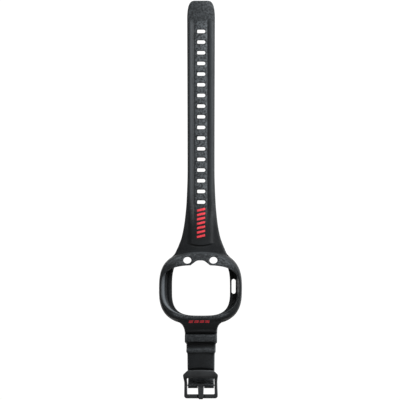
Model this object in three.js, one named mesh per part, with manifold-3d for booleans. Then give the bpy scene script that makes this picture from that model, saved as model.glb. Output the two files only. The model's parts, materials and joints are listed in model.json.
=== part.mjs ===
// Wrist strap with an integral frame for a dive computer, laid out flat.
// Millimetres, +Z up (the display side), +Y towards the tip of the long strap, +X to the wearer's right.
// The shapes are drawn about the centre of the frame's opening, and the finished group is moved so that
// the origin is the middle of the whole part, on the plane that it lies on.
import * as THREE from "three";
import { mergeVertices } from "three/addons/utils/BufferGeometryUtils.js";
import Module from "manifold-3d";

const wasm = await Module();
wasm.setup();

// ---- Driving dimensions --------------------------------------------------------------------------

// Frame: a cup whose walls lean outwards, seen from above as superellipses about FRAME_CENTRE_Y.
const FRAME_CENTRE_Y = 1.2;
const FRAME_HALF_WIDTH = 30.8;
const FRAME_REACH_UP = 28.1; // from the centre to the crest beside the long strap
const FRAME_REACH_DOWN = 26.4; // from the centre to the edge beside the short strap
const FRAME_SQUARENESS = 2.8; // superellipse exponent: 2 is an ellipse, larger is squarer
const RIM_HEIGHT = 9.7; // the rim at the sides
const BEZEL_TOP_HEIGHT = 10.5; // the bezel at its inner edge, beside the buttons
const BEZEL_LOW_HEIGHT = 10.0; // the bezel at its inner edge, beside the short strap
const CREST_HEIGHT = 6.0; // where the sloping bezel meets the long strap
const RIM_WIDTH = 1.8;
const WALL_LEAN = 3.0; // how much further in the cup's side walls stand at their foot than at the rim
const FLOOR_THICKNESS = 2.3;
const OPENING_HALF_WIDTH = 21.8;
const OPENING_REACH_UP = 24.6; // far enough to see through the button holes
const OPENING_REACH_DOWN = 20.0;
const OPENING_SQUARENESS = 3.3;
const BEZEL_EDGE_UP = 19.0; // y of the bezel's inner edge beside the buttons
const BEZEL_EDGE_DOWN = 19.2; // how far below the opening's centre the other inner edge lies
const SHELF_THICKNESS = 1.7; // of the bezel over the cup
const WINDOW_SQUARENESS = 2.6; // of the bezel's inner edge
const CUP_TO_CREST = 1.6; // wall between the cup and the crest
const BUTTON_HOLE_RADIUS = 2.75;
const BUTTON_HALF_SPACING = 9.8;
const BUTTON_TO_BEZEL_EDGE = 3.65;
const NOTCH_HALF_WIDTH_TOP = 2.6;
const NOTCH_HALF_WIDTH_FOOT = 6.6;
const NOTCH_DEPTH = 3.3;
const PORT_LENGTH = 11.0; // the slot in the floor beside the right wall
const PORT_WIDTH = 3.1;
const PORT_X = 24.5;
const PORT_Y = 3.1;

// Long strap.
const STRAP_THICKNESS = 3.0;
const LONG_HALF_WIDTH = 10.45; // at the tip end
const LONG_HALF_WAIST = 10.15; // at its narrowest, before it widens to the frame
const ROOT_GROOVE_Y = 34.5; // the line where the long strap flexes beside the frame
const ROOT_GROOVE_HEIGHT = 3.2;
const PANEL_HEIGHT = 4.4; // the raised panel's end beside that groove
const SLOT_COUNT = 17;
const SLOT_PITCH = 8.0;
const SLOT_LENGTH = 6.6;
const SLOT_WIDTH = 2.9;
const FRAME_TO_LAST_SLOT = 31.8; // from the root groove to the nearest slot
const LAST_SLOT_TO_TIP = 23.1; // from the furthest slot to the tip
const TIP_ROUNDING = 14;
const TIP_THICKNESS = 1.7;
const BAND_HALF_WIDTH = 4.9; // the textured centre band, between two shallow valleys
const RAIL_CREST_X = 7.9;
const VALLEY_DEPTH = 0.8;
const CROWN_RISE = 0.55; // of the band's centre above its valleys
const ARCH_HEIGHT = 1.4; // the hollow under the strap beside the frame
const WEB_TO_LINK_CUT = 3.1; // from the last slot to the cut above the mark

// Short strap.
const SHORT_ROOT_HALF = 12.1;
const SHORT_RIB_HALF = 11.0;
const SHORT_HALF_WIDTH = 10.1;
const SHORT_END_HALF = 9.7;
const SHORT_THICKNESS = 3.1;
const SHORT_ROOT_Y = -32.4; // the first flex groove
const FIRST_RIB_LENGTH = 6.2;
const SECOND_GROOVE_LENGTH = 3.4;
const SECOND_RIB_LENGTH = 4.6;
const RIB_HEIGHT = 4.5;
const ROOT_FLEX_HEIGHT = 2.8;
const SECOND_FLEX_HEIGHT = 2.1;
const ROOT_TO_BAR = 38.7; // from the first groove to the spring bar

// Cuts that divide the one-piece moulding into links, each wider at the top so that it can bend back.
const CUT_GAP = 0.3;
const BACKWARD_BEND_DEG = 12;
const CUT_MARGIN_DEG = 1;
const LINK_SLOTS = 2; // strap slots in each ordinary link

// Spring bar and tongue.
const BAR_RADIUS = 0.9;
const BAR_BORE = 0.62;
const BAR_MOUTH = 0.48;
const BAR_END_INSET = 0.2; // how far inside the strap's edge the tube ends
const BAR_CLEARANCE = 0.1;
const BAR_HEIGHT = 2.2;
const LOOP_RADIUS = 2.2; // the round end of the short strap
const TIP_STEM_RADIUS = 0.42;
const TIP_FLANGE_RADIUS = 0.56;
const TIP_REACH = 1.1; // how far a tip stands into the buckle's rail
const TIP_HOLE_CLEARANCE = 0.12;
const SPRING_RADIUS = 0.37;
const SPRING_WIRE = 0.11;
const SPRING_TURNS = 14;
const TONGUE_HALF_WIDTH = 2.2;
const TONGUE_THICKNESS = 1.3;
const TONGUE_EYE_WALL = 0.6;
const TONGUE_SIDE_CLEARANCE = 0.3;

// Buckle: a loop with a bridge over the strap and a bar that the tongue rests on.
const RAIL_TO_STRAP = 0.65;
const RAIL_WIDTH = 2.25;
const BRIDGE_TO_BAR = 6.5; // from the spring bar to the bridge's near edge
const BRIDGE_WIDTH = 4.5;
const BRIDGE_GAP = 3.2; // under the bridge, where the long strap passes
const BRIDGE_THICKNESS = 1.8;
const BRIDGE_SHOULDER = 3.2; // the corners cut off the bridge
const REST_BAR_GAP = 4.45; // between the strap's round end and the rest bar
const REST_BAR_WIDTH = 3.2;
const REST_BAR_HEIGHT = 3.0;
const TONGUE_OVERHANG = 0.5;
const TONGUE_SEAT_DEPTH = 0.5; // the shallow seat for the tongue in the rest bar
const TONGUE_SEAT_GAP = 0.25;

const RUBBER = { color: 0x2c2f31, roughness: 0.55, metalness: 0.0 };
const COATED_METAL = { color: 0x17181a, roughness: 0.35, metalness: 0.6 };
const STEEL = { color: 0x9a9ca0, roughness: 0.3, metalness: 1.0 };

// ---- Places worked out from the dimensions -------------------------------------------------------

const lastSlotY = ROOT_GROOVE_Y + FRAME_TO_LAST_SLOT;
const firstSlotY = lastSlotY + (SLOT_COUNT - 1) * SLOT_PITCH;
const tipY = firstSlotY + LAST_SLOT_TO_TIP;
const crestY = FRAME_CENTRE_Y + FRAME_REACH_UP - 0.8;
const barY = SHORT_ROOT_Y - ROOT_TO_BAR;
const shortEndY = barY - LOOP_RADIUS;
const railInner = SHORT_END_HALF + RAIL_TO_STRAP;
const railOuter = railInner + RAIL_WIDTH;
const bridgeNearY = barY + BRIDGE_TO_BAR;
const bridgeFarY = bridgeNearY + BRIDGE_WIDTH;
const restBarNearY = shortEndY - REST_BAR_GAP;
const restBarFarY = restBarNearY - REST_BAR_WIDTH;
const tongueEndY = restBarFarY - TONGUE_OVERHANG;
const bridgeUnder = SHORT_THICKNESS + BRIDGE_GAP;
const barHalf = SHORT_END_HALF - BAR_END_INSET;
const tongueEye = BAR_RADIUS + BAR_CLEARANCE + TONGUE_EYE_WALL;
const tongueSeat = REST_BAR_HEIGHT - TONGUE_SEAT_DEPTH;
const flareTopY = lastSlotY + 3 * SLOT_PITCH;
const firstRibY = SHORT_ROOT_Y - 0.9;
const secondFlexY = firstRibY - FIRST_RIB_LENGTH - SECOND_GROOVE_LENGTH / 2;
const secondRibY = firstRibY - FIRST_RIB_LENGTH - SECOND_GROOVE_LENGTH;
const plainY = secondRibY - SECOND_RIB_LENGTH;
const FAR = 60; // reaches past every face

// ---- Solids from three.js geometry ---------------------------------------------------------------

function solid(geometry) {
  const bare = geometry.clone().deleteAttribute("normal").deleteAttribute("uv");
  const merged = mergeVertices(bare, 1e-4);
  const mesh = new wasm.Mesh({
    numProp: 3,
    vertProperties: new Float32Array(merged.attributes.position.array),
    triVerts: new Uint32Array(merged.index.array),
  });
  return new wasm.Manifold(mesh);
}

function part(name, made, look) {
  const { vertProperties, triVerts } = made.getMesh();
  const geometry = new THREE.BufferGeometry();
  geometry.setAttribute("position", new THREE.BufferAttribute(vertProperties, 3));
  geometry.setIndex(new THREE.BufferAttribute(triVerts, 1));
  geometry.computeVertexNormals();
  const mesh = new THREE.Mesh(geometry, new THREE.MeshStandardMaterial(look));
  mesh.name = name;
  return mesh;
}

const shapeOf = (points) => new THREE.Shape(points.map(([x, y]) => new THREE.Vector2(x, y)));

// A plan outline drawn up in Z.
function plate(shape, z0, z1, steps = 12) {
  const geometry = new THREE.ExtrudeGeometry(shape, {
    depth: z1 - z0,
    bevelEnabled: false,
    curveSegments: steps,
  });
  return solid(geometry.translate(0, 0, z0));
}

// A side outline, given as (y, z), drawn out in X from x0 to x1.
function side(shape, x0, x1, steps = 12) {
  const geometry = new THREE.ExtrudeGeometry(shape, {
    depth: x1 - x0,
    bevelEnabled: false,
    curveSegments: steps,
  });
  const axes = new THREE.Matrix4().makeBasis(
    new THREE.Vector3(0, 1, 0),
    new THREE.Vector3(0, 0, 1),
    new THREE.Vector3(1, 0, 0),
  );
  return solid(geometry.applyMatrix4(axes).translate(x0, 0, 0));
}

// A round solid about the X axis through (y, z). The profile is (radius, x).
function round(profile, y, z, segments = 20) {
  const points = profile.map(([r, x]) => new THREE.Vector2(r, x));
  const geometry = new THREE.LatheGeometry(points, segments);
  return solid(geometry.rotateZ(-Math.PI / 2).translate(0, y, z));
}

const rod = (radius, x0, x1, y, z) =>
  round([[0, x0], [radius, x0], [radius, x1], [0, x1]], y, z);

const box = (x0, x1, y0, y1, z0, z1) =>
  plate(shapeOf([[x0, y0], [x1, y0], [x1, y1], [x0, y1]]), z0, z1);

// A superellipse about FRAME_CENTRE_Y with its own reach up and down.
function superellipse(halfWidth, up, down, exponent, count = 72) {
  const points = [];
  for (let i = 0; i < count; i++) {
    const angle = (2 * Math.PI * i) / count;
    const c = Math.cos(angle);
    const s = Math.sin(angle);
    const reach = s > 0 ? up : down;
    const x = halfWidth * Math.sign(c) * Math.abs(c) ** (2 / exponent);
    const y = reach * Math.sign(s) * Math.abs(s) ** (2 / exponent);
    points.push([x, y + FRAME_CENTRE_Y]);
  }
  return shapeOf(points);
}

// A rounded bar outline, length along X or along Y.
function stadium(x, y, length, width, alongX = true) {
  const r = width / 2;
  const straight = length / 2 - r;
  const shape = new THREE.Shape();
  if (alongX) {
    shape.absarc(x + straight, y, r, -Math.PI / 2, Math.PI / 2);
    shape.absarc(x - straight, y, r, Math.PI / 2, (3 * Math.PI) / 2);
  } else {
    shape.absarc(x, y + straight, r, 0, Math.PI);
    shape.absarc(x, y - straight, r, Math.PI, 2 * Math.PI);
  }
  return shape;
}

// ---- The moulding, before it is divided ----------------------------------------------------------

// The right-hand edge is a smooth curve through a few points, and the left-hand edge mirrors it.
function mirroredOutline(right, divisions) {
  const curve = new THREE.SplineCurve(right.map(([x, y]) => new THREE.Vector2(x, y)));
  const edge = curve.getSpacedPoints(divisions);
  const mirrored = edge.map((p) => new THREE.Vector2(-p.x, p.y)).reverse();
  return new THREE.Shape([...edge, ...mirrored]);
}

function longStrapPlan() {
  const top = FRAME_CENTRE_Y + FRAME_REACH_UP;
  const flare = mirroredOutline(
    [
      [FRAME_HALF_WIDTH - 7.8, top - 5.2],
      [LONG_HALF_WAIST + 9.6, top - 1.9],
      [LONG_HALF_WAIST + 6.7, top + 4.1],
      [LONG_HALF_WAIST + 4.1, top + 11.6],
      [LONG_HALF_WAIST + 2.0, top + 23.6],
      [LONG_HALF_WAIST + 0.7, top + 38.6],
      [LONG_HALF_WAIST, flareTopY],
    ],
    22,
  );
  const tipStart = tipY - TIP_ROUNDING;
  const body = new THREE.Shape();
  body.moveTo(LONG_HALF_WAIST, flareTopY - 0.5);
  body.lineTo(LONG_HALF_WIDTH, tipStart);
  body.bezierCurveTo(
    LONG_HALF_WIDTH, tipY - 4, LONG_HALF_WIDTH - 1.6, tipY, LONG_HALF_WIDTH - 5.6, tipY);
  body.lineTo(-LONG_HALF_WIDTH + 5.6, tipY);
  body.bezierCurveTo(
    -LONG_HALF_WIDTH + 1.6, tipY, -LONG_HALF_WIDTH, tipY - 4, -LONG_HALF_WIDTH, tipStart);
  body.lineTo(-LONG_HALF_WAIST, flareTopY - 0.5);
  return plate(flare, 0, FAR).add(plate(body, 0, FAR, 8));
}

function shortStrapPlan() {
  const bottom = FRAME_CENTRE_Y - FRAME_REACH_DOWN;
  const lug = mirroredOutline(
    [
      [SHORT_ROOT_HALF, firstRibY],
      [SHORT_ROOT_HALF + 0.1, bottom - 4.9],
      [SHORT_ROOT_HALF + 1.4, bottom - 1.1],
      [SHORT_ROOT_HALF + 4.6, bottom + 1.7],
      [SHORT_ROOT_HALF + 8.4, bottom + 3.5],
    ],
    14,
  );
  const rest = shapeOf([
    [SHORT_ROOT_HALF, firstRibY + 0.4],
    [-SHORT_ROOT_HALF, firstRibY + 0.4],
    [-SHORT_ROOT_HALF, secondFlexY + 2.2],
    [-SHORT_RIB_HALF, secondFlexY + 0.8],
    [-SHORT_RIB_HALF, plainY + 1.8],
    [-SHORT_HALF_WIDTH - 0.2, plainY],
    [-SHORT_HALF_WIDTH, bridgeFarY],
    [-SHORT_END_HALF, bridgeNearY + 1],
    [-SHORT_END_HALF, shortEndY],
    [SHORT_END_HALF, shortEndY],
    [SHORT_END_HALF, bridgeNearY + 1],
    [SHORT_HALF_WIDTH, bridgeFarY],
    [SHORT_HALF_WIDTH + 0.2, plainY],
    [SHORT_RIB_HALF, plainY + 1.8],
    [SHORT_RIB_HALF, secondFlexY + 0.8],
    [SHORT_ROOT_HALF, secondFlexY + 2.2],
  ]);
  return plate(lug, 0, FAR).add(plate(rest, 0, FAR));
}

// Heights along the middle, from the tip to the round end, as (y, z).
function topHeights() {
  return [
    [tipY, TIP_THICKNESS],
    [tipY - 3, STRAP_THICKNESS - 0.4],
    [tipY - TIP_ROUNDING, STRAP_THICKNESS],
    [lastSlotY - WEB_TO_LINK_CUT, STRAP_THICKNESS],
    [ROOT_GROOVE_Y + 3.6, PANEL_HEIGHT],
    [ROOT_GROOVE_Y + 1.6, PANEL_HEIGHT - 0.3],
    [ROOT_GROOVE_Y, ROOT_GROOVE_HEIGHT],
    [ROOT_GROOVE_Y - 1.8, ROOT_GROOVE_HEIGHT + 0.8],
    [crestY + 0.6, CREST_HEIGHT - 1.1],
    [crestY, CREST_HEIGHT],
    [BEZEL_EDGE_UP, BEZEL_TOP_HEIGHT],
    [FRAME_CENTRE_Y, RIM_HEIGHT],
    [-BEZEL_EDGE_DOWN, BEZEL_LOW_HEIGHT],
    [-BEZEL_EDGE_DOWN - 3.4, BEZEL_LOW_HEIGHT - 1.2],
    [-BEZEL_EDGE_DOWN - 8.4, BEZEL_LOW_HEIGHT - 3.7],
    [SHORT_ROOT_Y + 1.2, RIB_HEIGHT - 0.2],
    [SHORT_ROOT_Y, ROOT_FLEX_HEIGHT],
    [firstRibY, RIB_HEIGHT],
    [firstRibY - FIRST_RIB_LENGTH + 1.2, RIB_HEIGHT],
    [firstRibY - FIRST_RIB_LENGTH, SECOND_FLEX_HEIGHT],
    [secondRibY, SECOND_FLEX_HEIGHT],
    [secondRibY - 1.2, RIB_HEIGHT - 0.6],
    [plainY + 1.6, RIB_HEIGHT - 0.6],
    [plainY, SHORT_THICKNESS],
    [barY + LOOP_RADIUS, SHORT_THICKNESS],
  ];
}

function mouldingSide() {
  const under = [
    [shortEndY + LOOP_RADIUS, 0],
    [crestY - 0.6, 0],
    [crestY, ARCH_HEIGHT],
    [ROOT_GROOVE_Y + 1, ARCH_HEIGHT],
    [ROOT_GROOVE_Y + 15, ARCH_HEIGHT / 2],
    [lastSlotY - WEB_TO_LINK_CUT, 0],
    [tipY, 0],
  ];
  const outline = shapeOf([...under, ...topHeights()]);
  const loop = rod(LOOP_RADIUS, -FAR, FAR, barY, BAR_HEIGHT);
  return side(outline, -FAR, FAR).add(loop);
}

// The part of the bezel's front opening that the computer is pushed in through, as tall as everything.
function frontWindow() {
  const up = BEZEL_EDGE_UP - FRAME_CENTRE_Y;
  const down = BEZEL_EDGE_DOWN + FRAME_CENTRE_Y;
  return plate(superellipse(FRAME_HALF_WIDTH - RIM_WIDTH, up, down, WINDOW_SQUARENESS), 0, FAR);
}

// The cup that the computer sits in: open to the front inside the window, and under the bezel above it.
function cup() {
  const rimInner = FRAME_HALF_WIDTH - RIM_WIDTH;
  const up = crestY - FRAME_CENTRE_Y - CUP_TO_CREST;
  const down = BEZEL_EDGE_DOWN + FRAME_CENTRE_Y;
  const outline = superellipse(rimInner, up, down, FRAME_SQUARENESS);
  const depth = BEZEL_TOP_HEIGHT - FLOOR_THICKNESS;
  const geometry = new THREE.ExtrudeGeometry(outline, { depth, bevelEnabled: false });
  const place = geometry.attributes.position;
  for (let i = 0; i < place.count; i++) {
    if (place.getZ(i) < depth / 2) place.setX(i, place.getX(i) * (1 - WALL_LEAN / rimInner));
  }
  const room = solid(geometry.translate(0, 0, FLOOR_THICKNESS));
  const slope = (BEZEL_TOP_HEIGHT - CREST_HEIGHT) / (crestY - BEZEL_EDGE_UP);
  const ceiling = BEZEL_TOP_HEIGHT - SHELF_THICKNESS;
  const underBezel = shapeOf([
    [-FAR, 0],
    [crestY, 0],
    [crestY, ceiling - slope * (crestY - BEZEL_EDGE_UP)],
    [BEZEL_EDGE_UP, ceiling],
    [-FAR, ceiling],
  ]);
  return room.intersect(side(underBezel, -FAR, FAR).add(frontWindow()));
}

// The notch in the bezel's edge, between the buttons.
function notch() {
  const edge = BEZEL_EDGE_UP;
  const outline = shapeOf([
    [-NOTCH_HALF_WIDTH_FOOT, edge - 2],
    [NOTCH_HALF_WIDTH_FOOT, edge - 2],
    [NOTCH_HALF_WIDTH_FOOT, edge],
    [NOTCH_HALF_WIDTH_TOP, edge + NOTCH_DEPTH],
    [-NOTCH_HALF_WIDTH_TOP, edge + NOTCH_DEPTH],
    [-NOTCH_HALF_WIDTH_FOOT, edge],
  ]);
  return plate(outline, FLOOR_THICKNESS + 1, FAR);
}

function floorOpening() {
  const outline = superellipse(
    OPENING_HALF_WIDTH, OPENING_REACH_UP, OPENING_REACH_DOWN, OPENING_SQUARENESS);
  return plate(outline, -1, FLOOR_THICKNESS + 0.5);
}

// Two shallow valleys with a low crown between them, along the long strap.
function bandRelief() {
  const z = STRAP_THICKNESS;
  const section = shapeOf([
    [-RAIL_CREST_X, z + 0.01],
    [-BAND_HALF_WIDTH, z - VALLEY_DEPTH],
    [0, z - VALLEY_DEPTH + CROWN_RISE],
    [BAND_HALF_WIDTH, z - VALLEY_DEPTH],
    [RAIL_CREST_X, z + 0.01],
  ]);
  const length = firstSlotY + SLOT_PITCH - lastSlotY + WEB_TO_LINK_CUT;
  const geometry = new THREE.ExtrudeGeometry(section, { depth: length, bevelEnabled: false });
  return solid(geometry.rotateX(Math.PI / 2).translate(0, firstSlotY + SLOT_PITCH, 0));
}

function moulding() {
  const ring = plate(
    superellipse(FRAME_HALF_WIDTH, FRAME_REACH_UP, FRAME_REACH_DOWN, FRAME_SQUARENESS), 0, FAR);
  let made = ring.add(longStrapPlan()).add(shortStrapPlan()).intersect(mouldingSide());
  const cuts = [cup(), notch(), floorOpening(), bandRelief()];
  for (const sign of [-1, 1]) {
    const hole = new THREE.Shape();
    hole.absellipse(
      sign * BUTTON_HALF_SPACING, BEZEL_EDGE_UP + BUTTON_TO_BEZEL_EDGE,
      BUTTON_HOLE_RADIUS * 1.1, BUTTON_HOLE_RADIUS * 0.9, 0, 2 * Math.PI);
    cuts.push(plate(hole, FLOOR_THICKNESS + 1, FAR));
  }
  cuts.push(plate(stadium(PORT_X, PORT_Y, PORT_LENGTH, PORT_WIDTH, false), -1, FLOOR_THICKNESS + 3, 8));
  for (let i = 0; i < SLOT_COUNT; i++) {
    const slot = stadium(0, lastSlotY + i * SLOT_PITCH, SLOT_LENGTH, SLOT_WIDTH);
    cuts.push(plate(slot, -1, STRAP_THICKNESS + 1, 6));
  }
  cuts.push(rod(BAR_RADIUS + BAR_CLEARANCE, -FAR, FAR, barY, BAR_HEIGHT));
  const notchHalf = TONGUE_HALF_WIDTH + TONGUE_SIDE_CLEARANCE;
  cuts.push(box(-notchHalf, notchHalf, shortEndY - 1, barY + tongueEye + 0.35, -1, FAR));
  for (const cut of cuts) made = made.subtract(cut);
  return made;
}

// ---- Links ---------------------------------------------------------------------------------------

// y of each cut, from the frame to the tip: the root groove, above the mark, then every LINK_SLOTS slots.
function longCuts() {
  const cuts = [ROOT_GROOVE_Y, lastSlotY - WEB_TO_LINK_CUT];
  for (let i = LINK_SLOTS + 1; i < SLOT_COUNT - 1; i += LINK_SLOTS) {
    cuts.push(lastSlotY + (i - 0.5) * SLOT_PITCH);
  }
  return cuts;
}

// The moulding between two cuts. A cut leans away from the link, so it is widest at the top.
function between(whole, y0, y1) {
  const lean = Math.tan((((BACKWARD_BEND_DEG + CUT_MARGIN_DEG) / 2) * Math.PI) / 180);
  const top = 14;
  const slab = shapeOf([
    [y0 + CUT_GAP / 2, -1],
    [y1 - CUT_GAP / 2, -1],
    [y1 - CUT_GAP / 2, 0],
    [y1 - CUT_GAP / 2 - lean * top, top],
    [y0 + CUT_GAP / 2 + lean * top, top],
    [y0 + CUT_GAP / 2, 0],
  ]);
  return whole.intersect(side(slab, -FAR, FAR));
}

function mouldedLinks() {
  const whole = moulding();
  const cuts = longCuts();
  const parts = [part("frame", between(whole, SHORT_ROOT_Y, ROOT_GROOVE_Y), RUBBER)];
  cuts.forEach((y, i) => {
    const next = i + 1 < cuts.length ? cuts[i + 1] : FAR + tipY;
    const name = i + 1 < cuts.length ? `long_strap_link_${i + 1}` : "long_strap_tip";
    parts.push(part(name, between(whole, y, next), RUBBER));
  });
  parts.push(part("short_strap_rib_link", between(whole, secondFlexY, SHORT_ROOT_Y), RUBBER));
  parts.push(part("short_strap_end", between(whole, -2 * FAR, secondFlexY), RUBBER));
  return parts;
}

// ---- Spring bar ----------------------------------------------------------------------------------

function springBar() {
  const crimp = 0.6;
  const bore = barHalf - crimp;
  const tube = round(
    [
      [BAR_MOUTH, -barHalf],
      [BAR_RADIUS - 0.15, -barHalf],
      [BAR_RADIUS, -barHalf + 0.3],
      [BAR_RADIUS, barHalf - 0.3],
      [BAR_RADIUS - 0.15, barHalf],
      [BAR_MOUTH, barHalf],
      [BAR_MOUTH, bore],
      [BAR_BORE, bore],
      [BAR_BORE, -bore],
      [BAR_MOUTH, -bore],
      [BAR_MOUTH, -barHalf],
    ],
    barY, BAR_HEIGHT);
  const flangeOut = bore - 0.1;
  const flangeIn = flangeOut - 0.8;
  const stemEnd = railInner + TIP_REACH;
  const spigot = 0.22;
  const tip = [
    [0, flangeIn - 0.6],
    [spigot, flangeIn - 0.6],
    [spigot, flangeIn],
    [TIP_FLANGE_RADIUS, flangeIn],
    [TIP_FLANGE_RADIUS, flangeOut],
    [TIP_STEM_RADIUS, flangeOut],
    [TIP_STEM_RADIUS, stemEnd - 0.15],
    [TIP_STEM_RADIUS - 0.15, stemEnd],
    [0, stemEnd],
  ];
  const mirrored = tip.map(([r, x]) => [r, -x]).reverse();
  const helix = new THREE.Curve();
  const halfCoil = flangeIn - SPRING_WIRE - 0.1;
  helix.getPoint = (t, target = new THREE.Vector3()) => {
    const angle = 2 * Math.PI * SPRING_TURNS * t;
    return target.set(
      halfCoil * (2 * t - 1),
      barY + SPRING_RADIUS * Math.cos(angle),
      BAR_HEIGHT + SPRING_RADIUS * Math.sin(angle));
  };
  const wire = new THREE.Shape().absarc(0, 0, SPRING_WIRE, 0, 2 * Math.PI);
  const coil = new THREE.ExtrudeGeometry(wire, {
    steps: SPRING_TURNS * 9,
    curveSegments: 5,
    extrudePath: helix,
  });
  return [
    part("spring_bar_tube", tube, STEEL),
    part("spring_bar_tip_right", round(tip, barY, BAR_HEIGHT, 16), STEEL),
    part("spring_bar_tip_left", round(mirrored, barY, BAR_HEIGHT, 16), STEEL),
    part("spring_bar_coil", solid(coil), STEEL),
  ];
}

// ---- Buckle and tongue ---------------------------------------------------------------------------

function buckle() {
  const outline = new THREE.Shape();
  const shoulderX = railOuter + 0.3;
  outline.moveTo(railInner - 0.6, bridgeFarY);
  outline.lineTo(shoulderX, bridgeFarY - BRIDGE_SHOULDER);
  outline.lineTo(railOuter - 0.25, barY);
  outline.lineTo(railOuter, restBarFarY + 2);
  outline.quadraticCurveTo(railOuter, restBarFarY, railOuter - 2, restBarFarY);
  outline.lineTo(-railOuter + 2, restBarFarY);
  outline.quadraticCurveTo(-railOuter, restBarFarY, -railOuter, restBarFarY + 2);
  outline.lineTo(-railOuter + 0.25, barY);
  outline.lineTo(-shoulderX, bridgeFarY - BRIDGE_SHOULDER);
  outline.lineTo(-railInner + 0.6, bridgeFarY);
  outline.quadraticCurveTo(0, bridgeFarY + 0.8, railInner - 0.6, bridgeFarY);
  const rise = bridgeUnder + BRIDGE_THICKNESS;
  const profile = shapeOf([
    [restBarFarY, 0],
    [restBarNearY, 0],
    [barY - 2.4, 0.8],
    [barY - 1.2, 0.5],
    [barY + 1.4, 0.5],
    [barY + 2.6, BAR_HEIGHT + 0.6],
    [bridgeNearY, bridgeUnder],
    [bridgeFarY + 1, bridgeUnder],
    [bridgeFarY + 1, rise - 0.4],
    [bridgeFarY - 1, rise],
    [bridgeNearY + 0.4, rise - 0.2],
    [barY + 1.5, BAR_HEIGHT + 2.9],
    [restBarNearY, REST_BAR_HEIGHT + 0.3],
    [restBarFarY + 0.8, REST_BAR_HEIGHT],
    [restBarFarY, REST_BAR_HEIGHT - 0.8],
  ]);
  const seatHalf = TONGUE_HALF_WIDTH + TONGUE_SIDE_CLEARANCE;
  const holeEnd = railInner + TIP_REACH + 0.2;
  return plate(outline, 0, FAR)
    .intersect(side(profile, -FAR, FAR))
    .subtract(box(-railInner, railInner, restBarNearY, bridgeNearY, -1, FAR))
    .subtract(box(-seatHalf, seatHalf, restBarFarY - 1, restBarNearY + 1, tongueSeat, FAR))
    .subtract(rod(TIP_STEM_RADIUS + TIP_HOLE_CLEARANCE, -holeEnd, holeEnd, barY, BAR_HEIGHT));
}

function tongue() {
  const seat = tongueSeat + TONGUE_SEAT_GAP;
  const t = TONGUE_THICKNESS;
  const arm = shapeOf([
    [barY - 0.6, BAR_HEIGHT + 0.9],
    [barY - 1.3, BAR_HEIGHT - 0.4],
    [restBarNearY + 1.5, seat + 0.3],
    [restBarNearY, seat + 0.2],
    [restBarFarY + 0.8, seat],
    [tongueEndY, seat - 0.5],
    [tongueEndY - 0.05, seat - 0.1],
    [restBarFarY + 0.6, seat + t * 0.85],
    [restBarNearY, seat + t],
    [restBarNearY + 2.4, seat + t * 0.95],
  ]);
  return side(arm, -TONGUE_HALF_WIDTH, TONGUE_HALF_WIDTH)
    .add(rod(tongueEye, -TONGUE_HALF_WIDTH, TONGUE_HALF_WIDTH, barY, BAR_HEIGHT))
    .subtract(rod(BAR_RADIUS + BAR_CLEARANCE, -FAR, FAR, barY, BAR_HEIGHT));
}

// ---- The whole part ------------------------------------------------------------------------------

const assembly = new THREE.Group();
assembly.add(
  ...mouldedLinks(),
  ...springBar(),
  part("buckle_frame", buckle(), COATED_METAL),
  part("buckle_tongue", tongue(), COATED_METAL),
);
assembly.position.y = -(tipY + tongueEndY - 0.05) / 2;

export default assembly;
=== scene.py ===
"""Looks of a wrist strap with an integral frame for a dive computer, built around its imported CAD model.

Shapes are drawn in millimetres about a point near the middle of the frame's opening: +X to the right, +Y
towards the long strap's tip, +Z up. place() moves a drawing into the CAD model's frame, in metres.
"""
import json
import math

import bmesh
import bpy
import numpy as np
from bpy.props import FloatProperty, FloatVectorProperty, PointerProperty
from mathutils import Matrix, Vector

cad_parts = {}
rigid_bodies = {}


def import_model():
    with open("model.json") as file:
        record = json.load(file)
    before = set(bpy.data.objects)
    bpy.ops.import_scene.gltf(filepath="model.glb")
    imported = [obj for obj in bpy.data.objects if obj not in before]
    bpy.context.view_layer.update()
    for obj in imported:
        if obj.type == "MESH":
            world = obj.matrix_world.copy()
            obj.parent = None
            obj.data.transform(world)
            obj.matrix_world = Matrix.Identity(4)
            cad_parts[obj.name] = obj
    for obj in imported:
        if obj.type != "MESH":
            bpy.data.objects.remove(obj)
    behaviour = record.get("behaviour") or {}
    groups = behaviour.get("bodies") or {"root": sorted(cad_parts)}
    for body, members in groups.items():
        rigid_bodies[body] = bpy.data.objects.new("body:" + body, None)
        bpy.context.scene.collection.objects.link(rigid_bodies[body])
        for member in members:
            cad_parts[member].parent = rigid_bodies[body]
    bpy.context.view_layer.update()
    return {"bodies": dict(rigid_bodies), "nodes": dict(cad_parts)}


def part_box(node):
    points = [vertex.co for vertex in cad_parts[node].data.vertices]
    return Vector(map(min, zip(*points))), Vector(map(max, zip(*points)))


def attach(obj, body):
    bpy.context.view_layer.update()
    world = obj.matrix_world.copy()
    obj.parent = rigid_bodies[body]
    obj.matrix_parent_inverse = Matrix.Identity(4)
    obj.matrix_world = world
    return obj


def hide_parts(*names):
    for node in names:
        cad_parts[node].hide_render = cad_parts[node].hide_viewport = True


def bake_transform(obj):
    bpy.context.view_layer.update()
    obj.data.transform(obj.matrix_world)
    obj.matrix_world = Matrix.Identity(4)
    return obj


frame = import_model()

bl_info = {
    "name": "Dive computer strap",
    "version": (1, 0, 0),
    "blender": (4, 5, 0),
    "location": "View3D > Sidebar > Dive strap",
    "description": "Builds the moulded strap, its frame, the buckle and the spring bar",
    "category": "Add Mesh",
}

MM = 0.001


def corners(node):
    """A CAD node's lowest and highest corner, in millimetres."""
    return [np.array(corner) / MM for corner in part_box(node)]


TUBE_LOW, TUBE_HIGH = corners("spring_bar_tube")
BUCKLE_LOW, BUCKLE_HIGH = corners("buckle_frame")
TIP_HIGH = corners("long_strap_tip")[1]
FRAME_HIGH = corners("frame")[1]
END_LOW = corners("short_strap_end")[0]

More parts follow.
